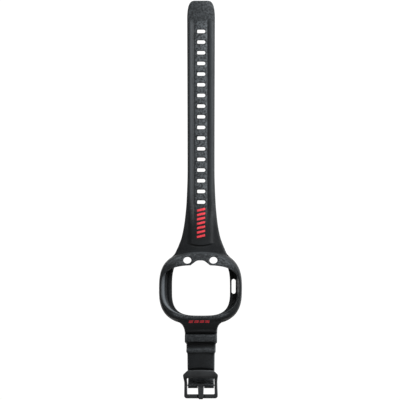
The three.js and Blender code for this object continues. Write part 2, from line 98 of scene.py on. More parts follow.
# ---- Sizes in the drawing, in millimetres ----------------------------------------------------------

BAR_Y = -71.1  # the spring bar's line, from the drawing's origin
SHIFT = (TUBE_LOW[1] + TUBE_HIGH[1]) / 2 - BAR_Y
BAR_Z = (TUBE_LOW[2] + TUBE_HIGH[2]) / 2
BAR_R = (TUBE_HIGH[2] - TUBE_LOW[2]) / 2
BAR_HALF = TUBE_HIGH[0]
TIP_Y = TIP_HIGH[1] - SHIFT
TIP_LENGTH = 14.0  # over which the long strap narrows to its tip
STRAP_HALF = 10.45  # half the long strap's width where the tip starts
RAIL_TOP = 0.77  # the rails' tops in band_relief, which stand at the spine's height
CENTRE_Y = 1.2  # the opening's centre
RING_HALF = FRAME_HIGH[0] + 0.4
RING_UP, RING_DOWN = 28.1, 26.8
RING_SQUARE = 2.8
WINDOW_HALF = RING_HALF - 1.8
WINDOW_UP, WINDOW_DOWN = 17.7, 20.4
WINDOW_SQUARE_UP, WINDOW_SQUARE_DOWN = 3.1, 2.6
LONG_SEAM, SHORT_SEAM = 30.5, -29.0  # where the frame's mesh ends and a strap's starts
ROOT_UP, ROOT_DOWN = 24.2, -21.8  # how near the opening's centre the straps' sides reach the ring
HOLE_X, HOLE_Y = 9.8, 22.65
PORT_X, PORT_Y, PORT_RADIUS, PORT_CORE = 24.5, 3.1, 1.55, 3.95
SLOT_FIRST, SLOT_PITCH, SLOT_COUNT = 66.3, 8.0, 17
CELL = 4.2  # half the width of the cell that holds a slot
CELL_ACROSS, CELL_ALONG = 12, 10  # steps along the cell's sides
END_Y = END_LOW[1] - SHIFT
END_HALF = 9.7
LUG_GAP_HALF, LUG_GAP_Y = 2.5, -69.1  # the notch for the tongue's eye
LUG_WEB_Y, LUG_WEB = -70.9, 0.42  # how far a thin web goes on below the eye, and its thickness
SIDE_ROUND = 0.9  # rounding of the short strap's upper edges
SHARP = 48  # degrees past which an edge is shaded sharp


def size(name):
    """One of the sizes in the sidebar, in millimetres."""
    return getattr(bpy.context.scene.dive_strap_sizes, name) / MM


# ---- Curves and heights ----------------------------------------------------------------------------

def smooth(start, end, value):
    """0 up to start and 1 from end on, with a smooth cubic step between; start may be the larger."""
    t = np.clip((value - start) / (end - start), 0, 1)
    return t * t * (3 - 2 * t)


def bell(value, middle, spread):
    """1 at the middle, falling to either side as a normal curve."""
    return np.exp(-(((value - middle) / spread) ** 2))


def softer_max(a, b, reach):
    """The larger of two heights, rounded where they come within reach of each other."""
    h = np.clip(0.5 + 0.5 * (a - b) / reach, 0, 1)
    return b * (1 - h) + a * h + reach * h * (1 - h)


def rounding(inside, radius, fall):
    """How far an edge has fallen at a distance inside it: a quarter ellipse, radius wide and fall deep."""
    t = np.clip(1 - inside / radius, 0, 1)
    return fall * (1 - np.sqrt(np.maximum(1 - t * t, 0)))


def through(points):
    """A curve through (at, value) points that never overshoots: Hermite cubics with harmonic slopes."""
    xs, ys = np.array(sorted(points), float).T
    step = np.diff(xs)
    rise = np.diff(ys) / step
    slope = np.concatenate([rise[:1], np.zeros(len(xs) - 2), rise[-1:]])
    before, after = rise[:-1], rise[1:]
    same = before * after > 0
    slope[1:-1][same] = 2 * before[same] * after[same] / (before[same] + after[same])

    def at(value):
        """The curve's value at a place, held at its end values beyond its ends."""
        value = np.clip(value, xs[0], xs[-1])
        i = np.clip(np.searchsorted(xs, value) - 1, 0, len(step) - 1)
        t = (value - xs[i]) / step[i]
        return (
            (1 + 2 * t) * (1 - t) ** 2 * ys[i]
            + t * (1 - t) ** 2 * step[i] * slope[i]
            + t * t * (3 - 2 * t) * ys[i + 1]
            + t * t * (t - 1) * step[i] * slope[i + 1]
        )

    return at


def squared_ellipse(angle, half, up, down, exponent):
    """Radius of a superellipse about the opening's centre, with its own reach up and down."""
    c, s = np.cos(angle), np.sin(angle)
    reach = np.where(s > 0, up, down)
    return (np.abs(c / half) ** exponent + np.abs(s / reach) ** exponent) ** (-1 / exponent)


def polar(x, y):
    """Angle and radius about the opening's centre."""
    return np.arctan2(y - CENTRE_Y, x), np.hypot(x, y - CENTRE_Y)


flare_half = through(
    [(24.1, 23.0), (27.4, 19.75), (30.4, 18.2), (33.4, 16.85), (40.9, 14.25), (52.9, 12.15),
     (67.9, 10.85), (90.3, 10.15), (203.4, 10.45)])
lug_half = through(
    [(-21.7, 20.5), (-23.5, 16.7), (-26.3, 13.5), (-30.1, 12.25), (-33.3, 12.1), (-38.9, 12.1),
     (-40.2, 11.0), (-45.7, 11.0), (-47.5, 10.3), (-60.1, 10.1), (-63.6, END_HALF), (END_Y, END_HALF)])


def bezier(t, a, b, c, d):
    """A cubic Bezier curve's value from its four control values."""
    return (1 - t) ** 3 * a + 3 * t * (1 - t) ** 2 * b + 3 * t**2 * (1 - t) * c + t**3 * d


tip_share = np.linspace(0, 1, 200)
tip_curve_y = TIP_Y + bezier(tip_share, -TIP_LENGTH, -4, 0, 0)
tip_curve_half = bezier(tip_share, STRAP_HALF, STRAP_HALF, 8.85, 4.85)


def long_half(y):
    """Half the long strap's width: a flare beside the frame, nearly parallel sides, and a rounded tip."""
    return np.where(y > TIP_Y - TIP_LENGTH, np.interp(y, tip_curve_y, tip_curve_half), flare_half(y))


def band_half(y):
    """Half the width of the centre band that holds the slots, which narrows with the tip."""
    return CELL * np.where(y > TIP_Y - TIP_LENGTH, (long_half(y) - 1) / (STRAP_HALF - 1), 1)


def side_distance(x, y, half):
    """Distance from a point to the strap's side, allowing for the slant of the side there."""
    nudge = 0.02
    slant = (half(y + nudge) - half(y - nudge)) / (2 * nudge)
    return (half(y) - np.abs(x)) / np.sqrt(1 + slant * slant)


def slot_distance(x, y):
    """Distance from the edge of the nearest slot, which is a bar with round ends; negative inside."""
    index = np.clip(np.round((y - SLOT_FIRST) / SLOT_PITCH), 0, SLOT_COUNT - 1)
    radius = size("slot_width") / 2
    core = size("slot_length") / 2 - radius
    along = np.maximum(np.abs(x) - core, 0)
    return np.hypot(along, y - SLOT_FIRST - index * SLOT_PITCH) - radius


long_spine = through(
    [(27.0, 4.95), (33.0, 4.75), (38.1, 4.3), (50.0, 3.75), (63.2, 3.08), (72.0, 3.0), (200.0, 3.0),
     (207.0, 2.93), (214.4, 2.55), (TIP_Y, 1.75)])
band_relief = through(
    [(0, 0.45), (2.0, 0.42), (3.4, 0.3), (4.2, 0.17), (4.65, 0.0), (4.9, -0.12), (5.15, -0.04),
     (6.4, 0.38), (7.5, 0.7), (7.9, RAIL_TOP), (8.3, 0.73), (9.2, 0.45), (10.6, -0.1)])
HOLLOW = 1.4  # depth of the hollow under the long strap's root
underside_hollow = through([(28.6, HOLLOW), (35.5, HOLLOW), (49.5, 0.7), (63.2, 0.0), (70, 0.0)])


def crease_line(x):
    """y of the curved crease below the raised panel: lowest in the middle, like a shallow bowl."""
    return 33.6 + 1.5 * (x / 8.5) ** 2


def long_top(x, y):
    """Height of the long strap: a spine profile, a centre band between two valleys with a rail outside
    each, a raised panel that ends at a curved crease, and rounded edges, slots and tip."""
    out, half = np.abs(x), long_half(y)
    spine = long_spine(y)
    fade = smooth(47, 66, y) * (1 - smooth(200.0, 204.6, y))
    relief = bpy.context.scene.dive_strap_sizes.relief * (band_relief(out) - RAIL_TOP)
    plain = -0.5 * (out / half) ** 3 - 0.25 * smooth(198, 206, y) * (out / half) ** 2
    z = spine + fade * relief + (1 - fade) * plain
    middle = 1 - smooth(7.2, 9.6, out)
    past = y - crease_line(x)
    z = z + 0.75 * smooth(-0.5, 0.6, past) * middle * (1 - smooth(52, 66, y))
    z = z - 0.2 * bell(past, -0.5, 0.7) * (1 - smooth(5.2, 9.0, out))
    fall = np.minimum(size("edge_radius"), 0.4 * spine)
    inside = np.minimum(side_distance(x, y, long_half), TIP_Y - y)
    z = z - rounding(inside, size("edge_radius"), fall)
    return z - rounding(np.maximum(slot_distance(x, y), 0), 0.5, 0.42)


def long_bottom(x, y):
    """Height of the underside: flat, with a shallow hollow beside the frame and rounded edges."""
    inside = np.minimum(side_distance(x, y, long_half), TIP_Y - y)
    z = underside_hollow(y) * hollow_share(x, y) + rounding(inside, 0.5, 0.42)
    return z + rounding(np.maximum(slot_distance(x, y), 0), 0.3, 0.25)


def hollow_share(x, y):
    """1 inside the hollow under the long strap's root, 0 near its sides and under the frame."""
    half = long_half(y)
    return smooth(27.9, 28.6, y) * (1 - smooth(half - 3.4, half - 1.6, np.abs(x)))


bezel_spine = through(
    [(-37.0, 1.0), (-33.0, 3.3), (-31.2, 4.3), (-27.6, 6.3), (-24.6, 7.85), (-22.6, 8.85), (-19.2, 9.95),
     (-12.0, 9.85), (1.2, 9.7), (12.0, 10.0), (17.5, 10.35), (19.2, 10.35), (21.5, 9.35), (25.0, 7.68),
     (28.5, 6.0), (34.0, 3.4)])


def crest_radius(angle):
    """Where the bezel's face folds over into the outer wall."""
    return squared_ellipse(angle, RING_HALF - 0.75, 27.3, 23.9, 2.35)


def ring_radius(angle):
    """The ring's outer edge seen from above."""
    return squared_ellipse(angle, RING_HALF, RING_UP, RING_DOWN, RING_SQUARE)


def frame_top(x, y):
    """Height of the frame: the bezel's face with a faint bead along its upper crest and a rounded fall
    outside it, or the roots of the two straps where they are higher, with a soft dish round each
    button hole."""
    angle, radius = polar(x, y)
    crest, outer = crest_radius(angle), ring_radius(angle)
    past = np.clip((radius - crest) / (outer - crest), 0, 1)
    ring = bezel_spine(y) - 3.4 * (1 - np.sqrt(np.maximum(1 - past * past, 0)))
    ring = ring + 0.18 * bell(radius - crest, -0.3, 0.7) * smooth(17, 23, y)
    ring = ring - 40 * np.maximum(radius - outer - 0.01, 0)
    root = bezel_spine(y) - 1.4 * smooth(-24.6, -21.4, y)
    root = root - rounding(side_distance(x, np.minimum(y, -22), lug_half), 1.0, 1.0)
    strap = np.where(y > 0, long_top(x, np.maximum(y, 27.2)), root)
    z = softer_max(ring, strap, 0.35)
    for sign in (-1, 1):
        reach = np.hypot((x - sign * HOLE_X) / size("hole_length"), (y - HOLE_Y) / size("hole_width")) * 2
        z = z - 0.4 * (1 - smooth(1.0, 1.32, reach))
    return z


rib_spine = through(
    [(-28.0, 6.1), (-29.0, 5.55), (-30.2, 4.85), (-31.3, 4.2), (-32.0, 3.0), (-32.4, 2.7), (-32.8, 3.0),
     (-33.6, 4.35), (-34.6, 4.5), (-37.4, 4.5), (-38.4, 4.35), (-38.9, 3.7), (-39.2, 1.9), (-39.8, 1.6),
     (-42.3, 1.6), (-42.9, 1.9), (-43.7, 3.4), (-44.4, 3.85), (-45.6, 3.95), (-46.4, 3.75), (-47.6, 3.15),
     (-48.4, 3.1), (-57.7, 3.1), (-58.3, 2.8), (-59.7, 1.95), (-61.0, 1.85), (-66.0, 2.2), (-68.5, 3.0),
     (END_Y, 3.1)])


def short_top(x, y):
    """Height of the short strap: a flex groove, a rib, a second groove, an arched rib, a plain length, a
    dip under the buckle's bridge, and a round end about the spring bar, with a thin web in its notch."""
    out = np.abs(x) / lug_half(y)
    bow = 0.7 * out**2 * smooth(-40.5, -44.0, y) * (1 - smooth(-47.0, -50.0, y))
    bow = bow + 0.9 * out**2 * smooth(-56, -58, y) * (1 - smooth(-61, -64, y))
    bow = bow + 1.2 * (1 - out**2) * smooth(-29.2, -30.6, y) * (1 - smooth(-31.3, -32.2, y))
    z = rib_spine(y + bow) - 0.3 * out**4 - 0.35 * out**2 * smooth(-46, -49, y)
    loop = BAR_Z + loop_rise(y)
    z = np.where(y > BAR_Y + 0.8, softer_max(z, np.where(y < BAR_Y + BAR_Z, loop, 0), 0.3), loop)
    fall = np.clip(0.42 * (z - short_under(y)), 0, SIDE_ROUND)
    z = z - rounding(side_distance(x, y, lug_half), SIDE_ROUND, fall)
    return np.where((np.abs(x) < LUG_GAP_HALF - 0.01) & (y < LUG_GAP_Y - 0.01), LUG_WEB, z)


def loop_rise(y):
    """How far the round end reaches above and below the spring bar's line."""
    return np.sqrt(np.maximum(BAR_Z**2 - (y - BAR_Y) ** 2, 0))


def short_under(y):
    """The underside's profile: flat, then up round the end."""
    return np.where(y < BAR_Y, BAR_Z - loop_rise(y), 0)


def short_bottom(x, y):
    """Height of the underside, with rounded side edges."""
    room = np.clip(0.3 * (BAR_Z + loop_rise(y) - short_under(y)), 0, 0.45)
    return short_under(y) + rounding(side_distance(x, y, lug_half), 0.5, np.where(y < BAR_Y, room, 0.42))


# ---- Mesh making -----------------------------------------------------------------------------------

def place(points):
    """Drawing millimetres to the CAD model's metres."""
    return (points + np.array([0, SHIFT, 0])) * MM


def grid_quads(rows, columns, around=False, along=False):
    """Quads of a grid of rows by columns, closed across its columns or along its rows where asked."""
    index = np.arange(rows * columns).reshape(rows, columns)
    if around:
        index = np.concatenate([index, index[:, :1]], 1)
    if along:
        index = np.concatenate([index, index[:1]], 0)
    return np.stack([index[:-1, :-1], index[:-1, 1:], index[1:, 1:], index[1:, :-1]], -1).reshape(-1, 4)


def weld(points, quads, step=1e-4):
    """Points that fall together become one, and faces that lose their area go."""
    _, keep, to = np.unique(np.round(points / step).astype(np.int64), axis=0, return_index=True,
                            return_inverse=True)
    quads = to.reshape(-1)[quads]
    corners_left = (np.roll(quads, -1, 1) != quads).sum(1)
    folded = (quads[:, 0] == quads[:, 2]) | (quads[:, 1] == quads[:, 3])
    return points[keep], quads[(corners_left >= 3) & ~folded]


def make_object(name, points, quads, look, slot, sharp=SHARP):
    """A smooth shaded mesh object from points in the drawing and their quads, with a finish by name. A
    quad that uses a point twice becomes a triangle."""
    faces = [list(dict.fromkeys(face)) for face in quads.tolist()]
    mesh = bpy.data.meshes.new(name)
    mesh.from_pydata(place(points).tolist(), [], faces)
    mesh.validate()
    mesh.polygons.foreach_set("use_smooth", np.ones(len(mesh.polygons), bool))
    mesh.set_sharp_from_angle(angle=math.radians(sharp))
    mesh.materials.append(finish(look))
    made = bpy.data.objects.new(name, mesh)
    bpy.context.scene.collection.objects.link(made)
    return made


def drawn(mesh):
    """A mesh's vertices back in drawing millimetres."""
    co = np.empty(len(mesh.vertices) * 3, np.float32)
    mesh.vertices.foreach_get("co", co)
    return co.reshape(-1, 3) / MM - np.array([0, SHIFT, 0])


def paint(made, name, rule):
    """Writes a value from 0 to 1 on each vertex, worked out by rule from its place in the drawing."""
    x, y, z = drawn(made.data).T
    layer = made.data.attributes.new(name, "FLOAT", "POINT")
    layer.data.foreach_set("value", np.clip(rule(x, y, z), 0, 1).astype(np.float32))


def slab(plan, quads, top, bottom):
    """A closed solid over a plan of quads: its upper face at top(x, y), its lower face at bottom(x, y),
    and a wall along each edge of the plan that only one quad uses."""
    plan, quads = weld(plan, quads)
    corner = plan[quads]
    nxt = np.roll(corner, -1, 1)
    area = (corner[..., 0] * nxt[..., 1] - nxt[..., 0] * corner[..., 1]).sum(1)
    quads = np.where((area < 0)[:, None], quads[:, ::-1], quads)
    count = len(plan)
    x, y = plan.T
    upper = np.column_stack([x, y, top(x, y)])
    lower = np.column_stack([x, y, np.minimum(bottom(x, y), upper[:, 2] - 1e-3)])
    starts, ends = quads.reshape(-1), np.roll(quads, -1, 1).reshape(-1)
    real = starts != ends
    starts, ends = starts[real], ends[real]
    key = np.minimum(starts, ends).astype(np.int64) * count + np.maximum(starts, ends)
    _, where, uses = np.unique(key, return_inverse=True, return_counts=True)
    rim = uses[where.reshape(-1)] == 1
    a, b = starts[rim], ends[rim]
    walls = np.column_stack([b, a, a + count, b + count])
    return np.vstack([upper, lower]), np.vstack([quads, quads[:, ::-1] + count, walls])


def join(blocks):
    """Several (points, quads) blocks as one."""
    starts = np.cumsum([0] + [len(p) for p, _ in blocks[:-1]])
    return np.vstack([p for p, _ in blocks]), np.vstack([q + s for (_, q), s in zip(blocks, starts)])


def plan_grid(x, y):
    """A plan block from two equal arrays of x and y."""
    return np.column_stack([x.ravel(), y.ravel()]), grid_quads(*x.shape)


# Shares of the way from the band's edge to the rounded side, closer together at the valley's inner wall
# and at the rail's top.
FLANK = np.array([0, 0.045, 0.09, 0.125, 0.15, 0.18, 0.22, 0.3, 0.4, 0.52, 0.63, 0.7, 0.75, 0.8, 0.87,
                  0.94, 1])
TURN = np.radians([15, 30, 45, 60, 75, 90])


def flanks(y, half, inner, radius):
    """Plan blocks from the centre band's edge out to each side, with close rows where the edge rounds."""
    half = half(y)[:, None]
    flat = inner + FLANK * (half - radius - inner)
    turn = half - radius * (1 - np.sin(TURN))
    x = np.concatenate([flat, turn], 1)
    rows = np.broadcast_to(y[:, None], x.shape)
    return [plan_grid(x, rows), plan_grid(-x, rows)]


def slot_cell(y):
    """A plan block round one slot: rings from the slot's edge out to the cell's straight sides. The
    outline is followed from 225 degrees on its lower left, round by the right, to 135 degrees on its
    upper left. Known fault: the stops leave out the left-hand end and are stretched over the whole
    outline, so that end is one straight chord, and a few quads of each cell fold over others. Stops
    that run on to 585 degrees, with no stretch, would round it."""
    radius = size("slot_width") / 2
    core, deep = size("slot_length") / 2 - radius, SLOT_PITCH / 2
    edge_x = np.linspace(-CELL, CELL, CELL_ACROSS + 1)
    edge_y = np.linspace(-deep, deep, CELL_ALONG + 1)
    outer = np.concatenate([
        np.column_stack([edge_x[:-1], np.full(CELL_ACROSS, -deep)]),
        np.column_stack([np.full(CELL_ALONG, CELL), edge_y[:-1]]),
        np.column_stack([edge_x[::-1][:-1], np.full(CELL_ACROSS, deep)]),
        np.column_stack([np.full(CELL_ALONG, -CELL), edge_y[::-1][:-1]]),
    ])
    eighth, straight = math.pi / 4 * radius, 2 * core
    marks = np.cumsum([0, straight + 2 * eighth, 2 * eighth, straight + 2 * eighth, 2 * eighth])
    way = np.concatenate([np.linspace(marks[i], marks[i + 1], n, endpoint=False)
                          for i, n in enumerate([CELL_ACROSS, CELL_ALONG] * 2)])
    stops = np.cumsum([0, eighth, straight, 4 * eighth, straight, eighth])
    stops *= marks[-1] / stops[-1]
    angle = np.interp(way, stops, np.radians([225, 270, 270, 450, 450, 495]))
    centre = np.interp(way, stops, [-core, -core, core, core, -core, -core])
    blocks = []
    for reach in 0.5 * np.append(1 - np.sin(TURN[::-1]), 1):
        blocks.append(np.column_stack([centre + (radius + reach) * np.cos(angle),
                                       (radius + reach) * np.sin(angle)]))
    last = blocks[-1]
    for share in (0.25, 0.5, 0.75, 1.0):
        blocks.append(last + (outer - last) * share)
    points = np.concatenate(blocks) + np.array([0, y])
    return points, grid_quads(len(blocks), len(outer), around=True)


def strap_plan(start, end, slots):
    """The plan of a length of the long strap, with a cell round each of its slots."""
    cells = [SLOT_FIRST + SLOT_PITCH * i for i in slots]
    rows, plain = [], []
    position = start
    for centre in cells + [None]:
        stop = end if centre is None else centre - SLOT_PITCH / 2
        if stop - position > 1e-6:
            stretch = rows_between(position, stop)
            plain.append(stretch)
            rows.append(stretch)
        if centre is not None:
            position = centre + SLOT_PITCH / 2
            rows.append(np.linspace(stop, position, CELL_ALONG + 1))
    blocks = []
    for stretch in rows:
        blocks += flanks(stretch, long_half, band_half(stretch)[:, None], size("edge_radius"))
    for stretch in plain:
        x = np.linspace(-1, 1, CELL_ACROSS + 1) * band_half(stretch)[:, None]
        blocks.append(plan_grid(x, np.broadcast_to(stretch[:, None], x.shape)))
    blocks += [slot_cell(centre) for centre in cells]
    return join(blocks)


def rows_between(start, end):
    """Rows about 0.8 mm apart, closer near the crease and the tip."""
    spots = np.linspace(start, end, 4000)
    close = 1 / 0.8 + 3.2 * bell(spots, 34.4, 1.8) + 5.5 * smooth(TIP_Y - 3, TIP_Y, spots)
    way = np.concatenate([[0], np.cumsum((close[1:] + close[:-1]) / 2 * np.diff(spots))])
    count = max(2, int(round(way[-1])))
    return np.interp(np.linspace(0, way[-1], count + 1), way, spots)


def distance_to(x, y, outline):
    """Distance from points to a closed outline, by its nearest straight segment."""
    a, b = outline, np.roll(outline, -1, 0)
    along = b - a
    from_x, from_y = x[:, None] - a[None, :, 0], y[:, None] - a[None, :, 1]
    t = (from_x * along[:, 0] + from_y * along[:, 1]) / np.maximum((along**2).sum(1), 1e-12)
    t = np.clip(t, 0, 1)
    return np.sqrt(((from_x - t * along[:, 0]) ** 2 + (from_y - t * along[:, 1]) ** 2).min(1))


def lathe(profile, y, z, segments):
    """A closed (radius, x) profile turned about the X axis through (y, z)."""
    turn = np.linspace(0, 2 * np.pi, segments, endpoint=False)[:, None]
    r, x = np.array(profile, float).T
    x = np.broadcast_to(x, (segments, len(r)))
    points = np.stack([x, y + r * np.cos(turn), z + r * np.sin(turn)], -1)
    return points.reshape(-1, 3), grid_quads(segments, len(r), around=True, along=True)


def closed_tube(rings):
    """A tube through closed rings of points, whose ends are drawn in to their rings' middle points."""
    caps = rings.mean(1)[[0, -1]][:, None, :].repeat(rings.shape[1], 1)
    rings = np.concatenate([caps[:1], rings, caps[1:]])
    return weld(rings.reshape(-1, 3), grid_quads(*rings.shape[:2], around=True))


# ---- Finishes --------------------------------------------------------------------------------------

class Value:
    """A number over the surface; Python's operators on it add Math nodes."""

    def __init__(self, finish, socket):
        self.finish, self.socket = finish, socket

    def _math(self, operation, a, b):
        return self.finish.value("ShaderNodeMath", {"operation": operation}, {0: a, 1: b})

    def __add__(self, other):
        return self._math("ADD", self, other)

    def __sub__(self, other):
        return self._math("SUBTRACT", self, other)

    def __mul__(self, other):
        return self._math("MULTIPLY", self, other)

    def __radd__(self, other):
        return self._math("ADD", other, self)

    def __rsub__(self, other):
        return self._math("SUBTRACT", other, self)

    def __rmul__(self, other):
        return self._math("MULTIPLY", other, self)


class Finish:
    """A material made of procedural nodes on Object coordinates and the pieces' own attributes."""

    def __init__(self, name):
        self.material = bpy.data.materials.new(name)
        self.material.use_nodes = True
        self.nodes = self.material.node_tree.nodes
        self.links = self.material.node_tree.links
        self.shader = self.nodes["Principled BSDF"]
        self.place = self.node("ShaderNodeTexCoord", {}, {}).outputs["Object"]

    def node(self, kind, settings, inputs):
        """Any node: its settings are set first, then its sockets take numbers, colours or links."""
        made = self.nodes.new(kind)
        for key, setting in settings.items():
            setattr(made, key, setting)
        for key, given in inputs.items():
            given = getattr(given, "socket", given)
            if isinstance(given, bpy.types.NodeSocket):
                self.links.new(given, made.inputs[key])
            else:
                made.inputs[key].default_value = given
        return made

    def value(self, kind, settings, inputs, output=0):
        """One output of a new node, as a number that operators work on."""
        return Value(self, self.node(kind, settings, inputs).outputs[output])

    def attribute(self, name):
        """A value that paint() wrote on the piece's own points."""
        return self.value("ShaderNodeAttribute", {"attribute_name": name}, {}, "Fac")

    def noise(self, scale, detail, roughness, stretch=None):
        """Noise with so many grains to the metre, with its own scale on each axis where asked."""
        vector = self.place
        if stretch:
            vector = self.node("ShaderNodeMapping", {}, {"Vector": vector, "Scale": stretch}).outputs[0]
        return self.value("ShaderNodeTexNoise", {}, {
            "Vector": vector, "Scale": scale, "Detail": detail, "Roughness": roughness}, "Fac")

    def step(self, value, start, end):
        """0 up to start and 1 from end on, smoothly."""
        return self.value("ShaderNodeMapRange", {"interpolation_type": "SMOOTHSTEP"}, {
            "Value": value, "From Min": start, "From Max": end})

    def mix(self, share, a, b):
        """Colour a where share is 0, and colour b where it is 1."""
        return self.node("ShaderNodeMix", {"data_type": "RGBA"}, {0: share, 6: a, 7: b}).outputs[2]

    def bump(self, height, depth, strength):
        """A surface direction for a height from 0 to about 1, with its full depth in metres."""
        return self.node("ShaderNodeBump", {}, {
            "Strength": strength, "Distance": depth, "Height": height}).outputs[0]

    def set(self, **sockets):
        """Sets the surface's own sockets; an underscore in a name stands for a space."""
        for key, given in sockets.items():
            socket = self.shader.inputs[key.replace("_", " ")]
            given = getattr(given, "socket", given)
            if isinstance(given, bpy.types.NodeSocket):
                self.links.new(given, socket)
            else:
                socket.default_value = given
        return self.material


def colour(name, scale=1.0):
    """One of the sidebar's colours as a socket value, darker or lighter by scale."""
    c = getattr(bpy.context.scene.dive_strap_colours, name)
    return (c[0] * scale, c[1] * scale, c[2] * scale, 1.0)


def finish(name):
    """A finish by name, made the first time it is asked for."""
    return bpy.data.materials.get(name) or MAKERS[name](name)


def moulded_rubber(name):
    """Satin moulded elastomer: fine moulded texture all over; coarser dust-like mottling, specks and a
    lighter tone where the piece's coarse-texture value says, which is partly real texture and partly
    painted light and shade; lighter still where its rubbing value says, which is real rubbing on the short
    strap's edges and a painted highlight on the long strap's rails and the frame's crest; and an even light
    grey, a painted sheen, where its sheen value says."""
    f = Finish(name)
    grain = f.attribute("grain")
    wear = f.attribute("wear")
    fine = f.noise(5200, 2.0, 0.6)
    mottle = f.noise(700, 3.0, 0.7)
    cloud = f.noise(46, 3.0, 0.55)
    specks = f.step(f.noise(980, 2.0, 0.6), 0.5, 0.64)
    body = f.mix(f.step(cloud, 0.3, 0.72), colour("rubber", 0.8), colour("rubber", 1.18))
    # Lighter rubber where the coarse-texture value says: partly real texture, partly painted light and
    # shade on the frame's face and on the straps.
    dust_and_light = f.mix(grain * (0.1 + 0.9 * f.step(mottle, 0.43, 0.57)), body, colour("rubber", 8.5))
    speckled = f.mix(grain * specks * 0.5, dust_and_light, colour("rubber", 12.0))
    # Lighter where the rubbing value says: real rubbing on the short strap's edges, a painted highlight on
    # the long strap's rails and the frame's crest.
    rubbed_and_sheen = f.mix(wear * f.step(cloud + 0.35 * fine, 0.15, 0.7) * 0.9, speckled, colour("rubber", 4.4))
    # Painted sheen: an even light grey on the cup's leaning wall.
    rubbed_and_sheen = f.mix(f.attribute("satin"), rubbed_and_sheen, colour("rubber", 9.0))
    rough = 0.35 + 0.08 * fine + 0.08 * cloud + 0.2 * grain - 0.03 * wear
    height = 0.35 * fine + grain * (0.9 * mottle + 0.5 * specks)
    return f.set(Base_Color=rubbed_and_sheen, Roughness=rough, Normal=f.bump(height, 0.00011, 0.7),
                 Specular_IOR_Level=0.5)


def coated_metal(name):
    """Black satin coating over metal: a fine sprayed texture, with edges worn smoother and lighter."""
    f = Finish(name)
    wear = f.attribute("wear")
    spray = f.noise(3400, 3.0, 0.6)
    patch = f.noise(120, 3.0, 0.55)
    worn = wear * f.step(patch + 0.4 * spray, 0.45, 0.95)
    body = f.mix(f.step(patch, 0.3, 0.7), colour("coating", 0.85), colour("coating", 1.25))
    base = f.mix(worn * 0.7, body, colour("coating", 3.2))
    rough = 0.36 + 0.12 * spray + 0.08 * patch - 0.08 * worn
    return f.set(Base_Color=base, Roughness=rough, Normal=f.bump(spray, 0.00005, 0.5), Metallic=0.25)


def turned_steel(name):
    """Bare turned steel: fine rings round the bar's axis, with dull patches."""
    f = Finish(name)
    rings = f.noise(900, 2.0, 0.5, (9.0, 0.4, 0.4))
    patch = f.noise(260, 3.0, 0.6)
    base = f.mix(f.step(patch, 0.35, 0.7), colour("steel", 0.82), colour("steel"))
    rough = 0.22 + 0.14 * rings + 0.12 * patch
    return f.set(Base_Color=base, Roughness=rough, Metallic=1.0, Normal=f.bump(rings, 0.00002, 0.4))


def red_inlay(name):
    """Red printed inlay: slightly uneven ink with a dull surface and faint rubbed spots."""
    f = Finish(name)
    ink = f.noise(700, 3.0, 0.6)
    spots = f.step(f.noise(1600, 3.0, 0.65), 0.6, 0.75)
    base = f.mix(f.step(ink, 0.3, 0.7), colour("inlay", 0.86), colour("inlay", 1.08))
    base = f.mix(spots * 0.35, base, colour("inlay", 0.6))
    return f.set(Base_Color=base, Roughness=0.46 + 0.12 * ink, Normal=f.bump(ink, 0.00004, 0.5))


def pale_floor(name):
    """Plain pale floor with the faintest unevenness, bright enough to read as a white sweep."""
    f = Finish(name)
    cloud = f.noise(3.0, 2.0, 0.5)
    return f.set(Base_Color=f.mix(cloud, (0.05, 0.05, 0.05, 1), (0.06, 0.06, 0.06, 1)), Roughness=0.9,
                 Emission_Color=(1.0, 1.0, 1.0, 1.0), Emission_Strength=0.99)


MAKERS = {
    "strap rubber": moulded_rubber,
    "buckle coating": coated_metal,
    "spring bar steel": turned_steel,
    "red inlay": red_inlay,
    "pale floor": pale_floor,
}


# ---- Properties ------------------------------------------------------------------------------------

def length(name, description, default):
    """A length property whose default is given in millimetres."""
    return FloatProperty(name=name, description=description, default=default * MM, unit="LENGTH",
                         precision=5)


def tint(name, description, default):
    """A colour property."""
    return FloatVectorProperty(name=name, description=description, default=default, subtype="COLOR",
                               size=3, min=0, max=1)


class DIVE_STRAP_PG_sizes(bpy.types.PropertyGroup):
    slot_length: length("Slot length", "Length of a strap slot across the strap", 6.6)
    slot_width: length("Slot width", "Width of a strap slot along the strap", 2.5)
    edge_radius: length("Edge radius", "Rounding of the strap's upper edges", 1.0)
    relief: FloatProperty(name="Relief", description="Depth of the band's valleys, as a share of normal",
                          default=1, min=0, max=2, subtype="FACTOR")
    hole_length: length("Hole length", "Length of a button hole across the frame", 6.06)
    hole_width: length("Hole width", "Width of a button hole along the frame", 4.96)
    notch_depth: length("Notch depth", "Depth of the notch between the buttons", 3.6)
    shelf: length("Shelf thickness", "Thickness of the bezel over the cup", 1.7)
    floor: length("Floor thickness", "Thickness of the ledge round the opening", 2.3)
    buckle_edge: length("Buckle edge", "Rounding of the buckle's edges", 0.6)
    mark_height: length("Mark height", "How far the red marks stand proud", 0.14)


class DIVE_STRAP_PG_colours(bpy.types.PropertyGroup):
    rubber: tint("Rubber", "Moulded strap and frame", (0.0098, 0.0109, 0.0118))
    coating: tint("Coating", "Buckle and tongue", (0.036, 0.038, 0.040))
    steel: tint("Steel", "Spring bar", (0.56, 0.56, 0.57))
    inlay: tint("Inlay", "Printed marks", (0.62, 0.045, 0.06))


class DIVE_STRAP_PG_stage(bpy.types.PropertyGroup):
    key: FloatProperty(name="Key light", description="Power of the lamp at the upper right",
                       default=11.0, unit="POWER")
    fill: FloatProperty(name="Room light", description="Brightness of the room", default=0.06, min=0)
    tilt: FloatProperty(name="Camera tilt", description="Lean of the camera to the right",
                        default=math.radians(4), subtype="ANGLE")


# ---- Pieces ----------------------------------------------------------------------------------------

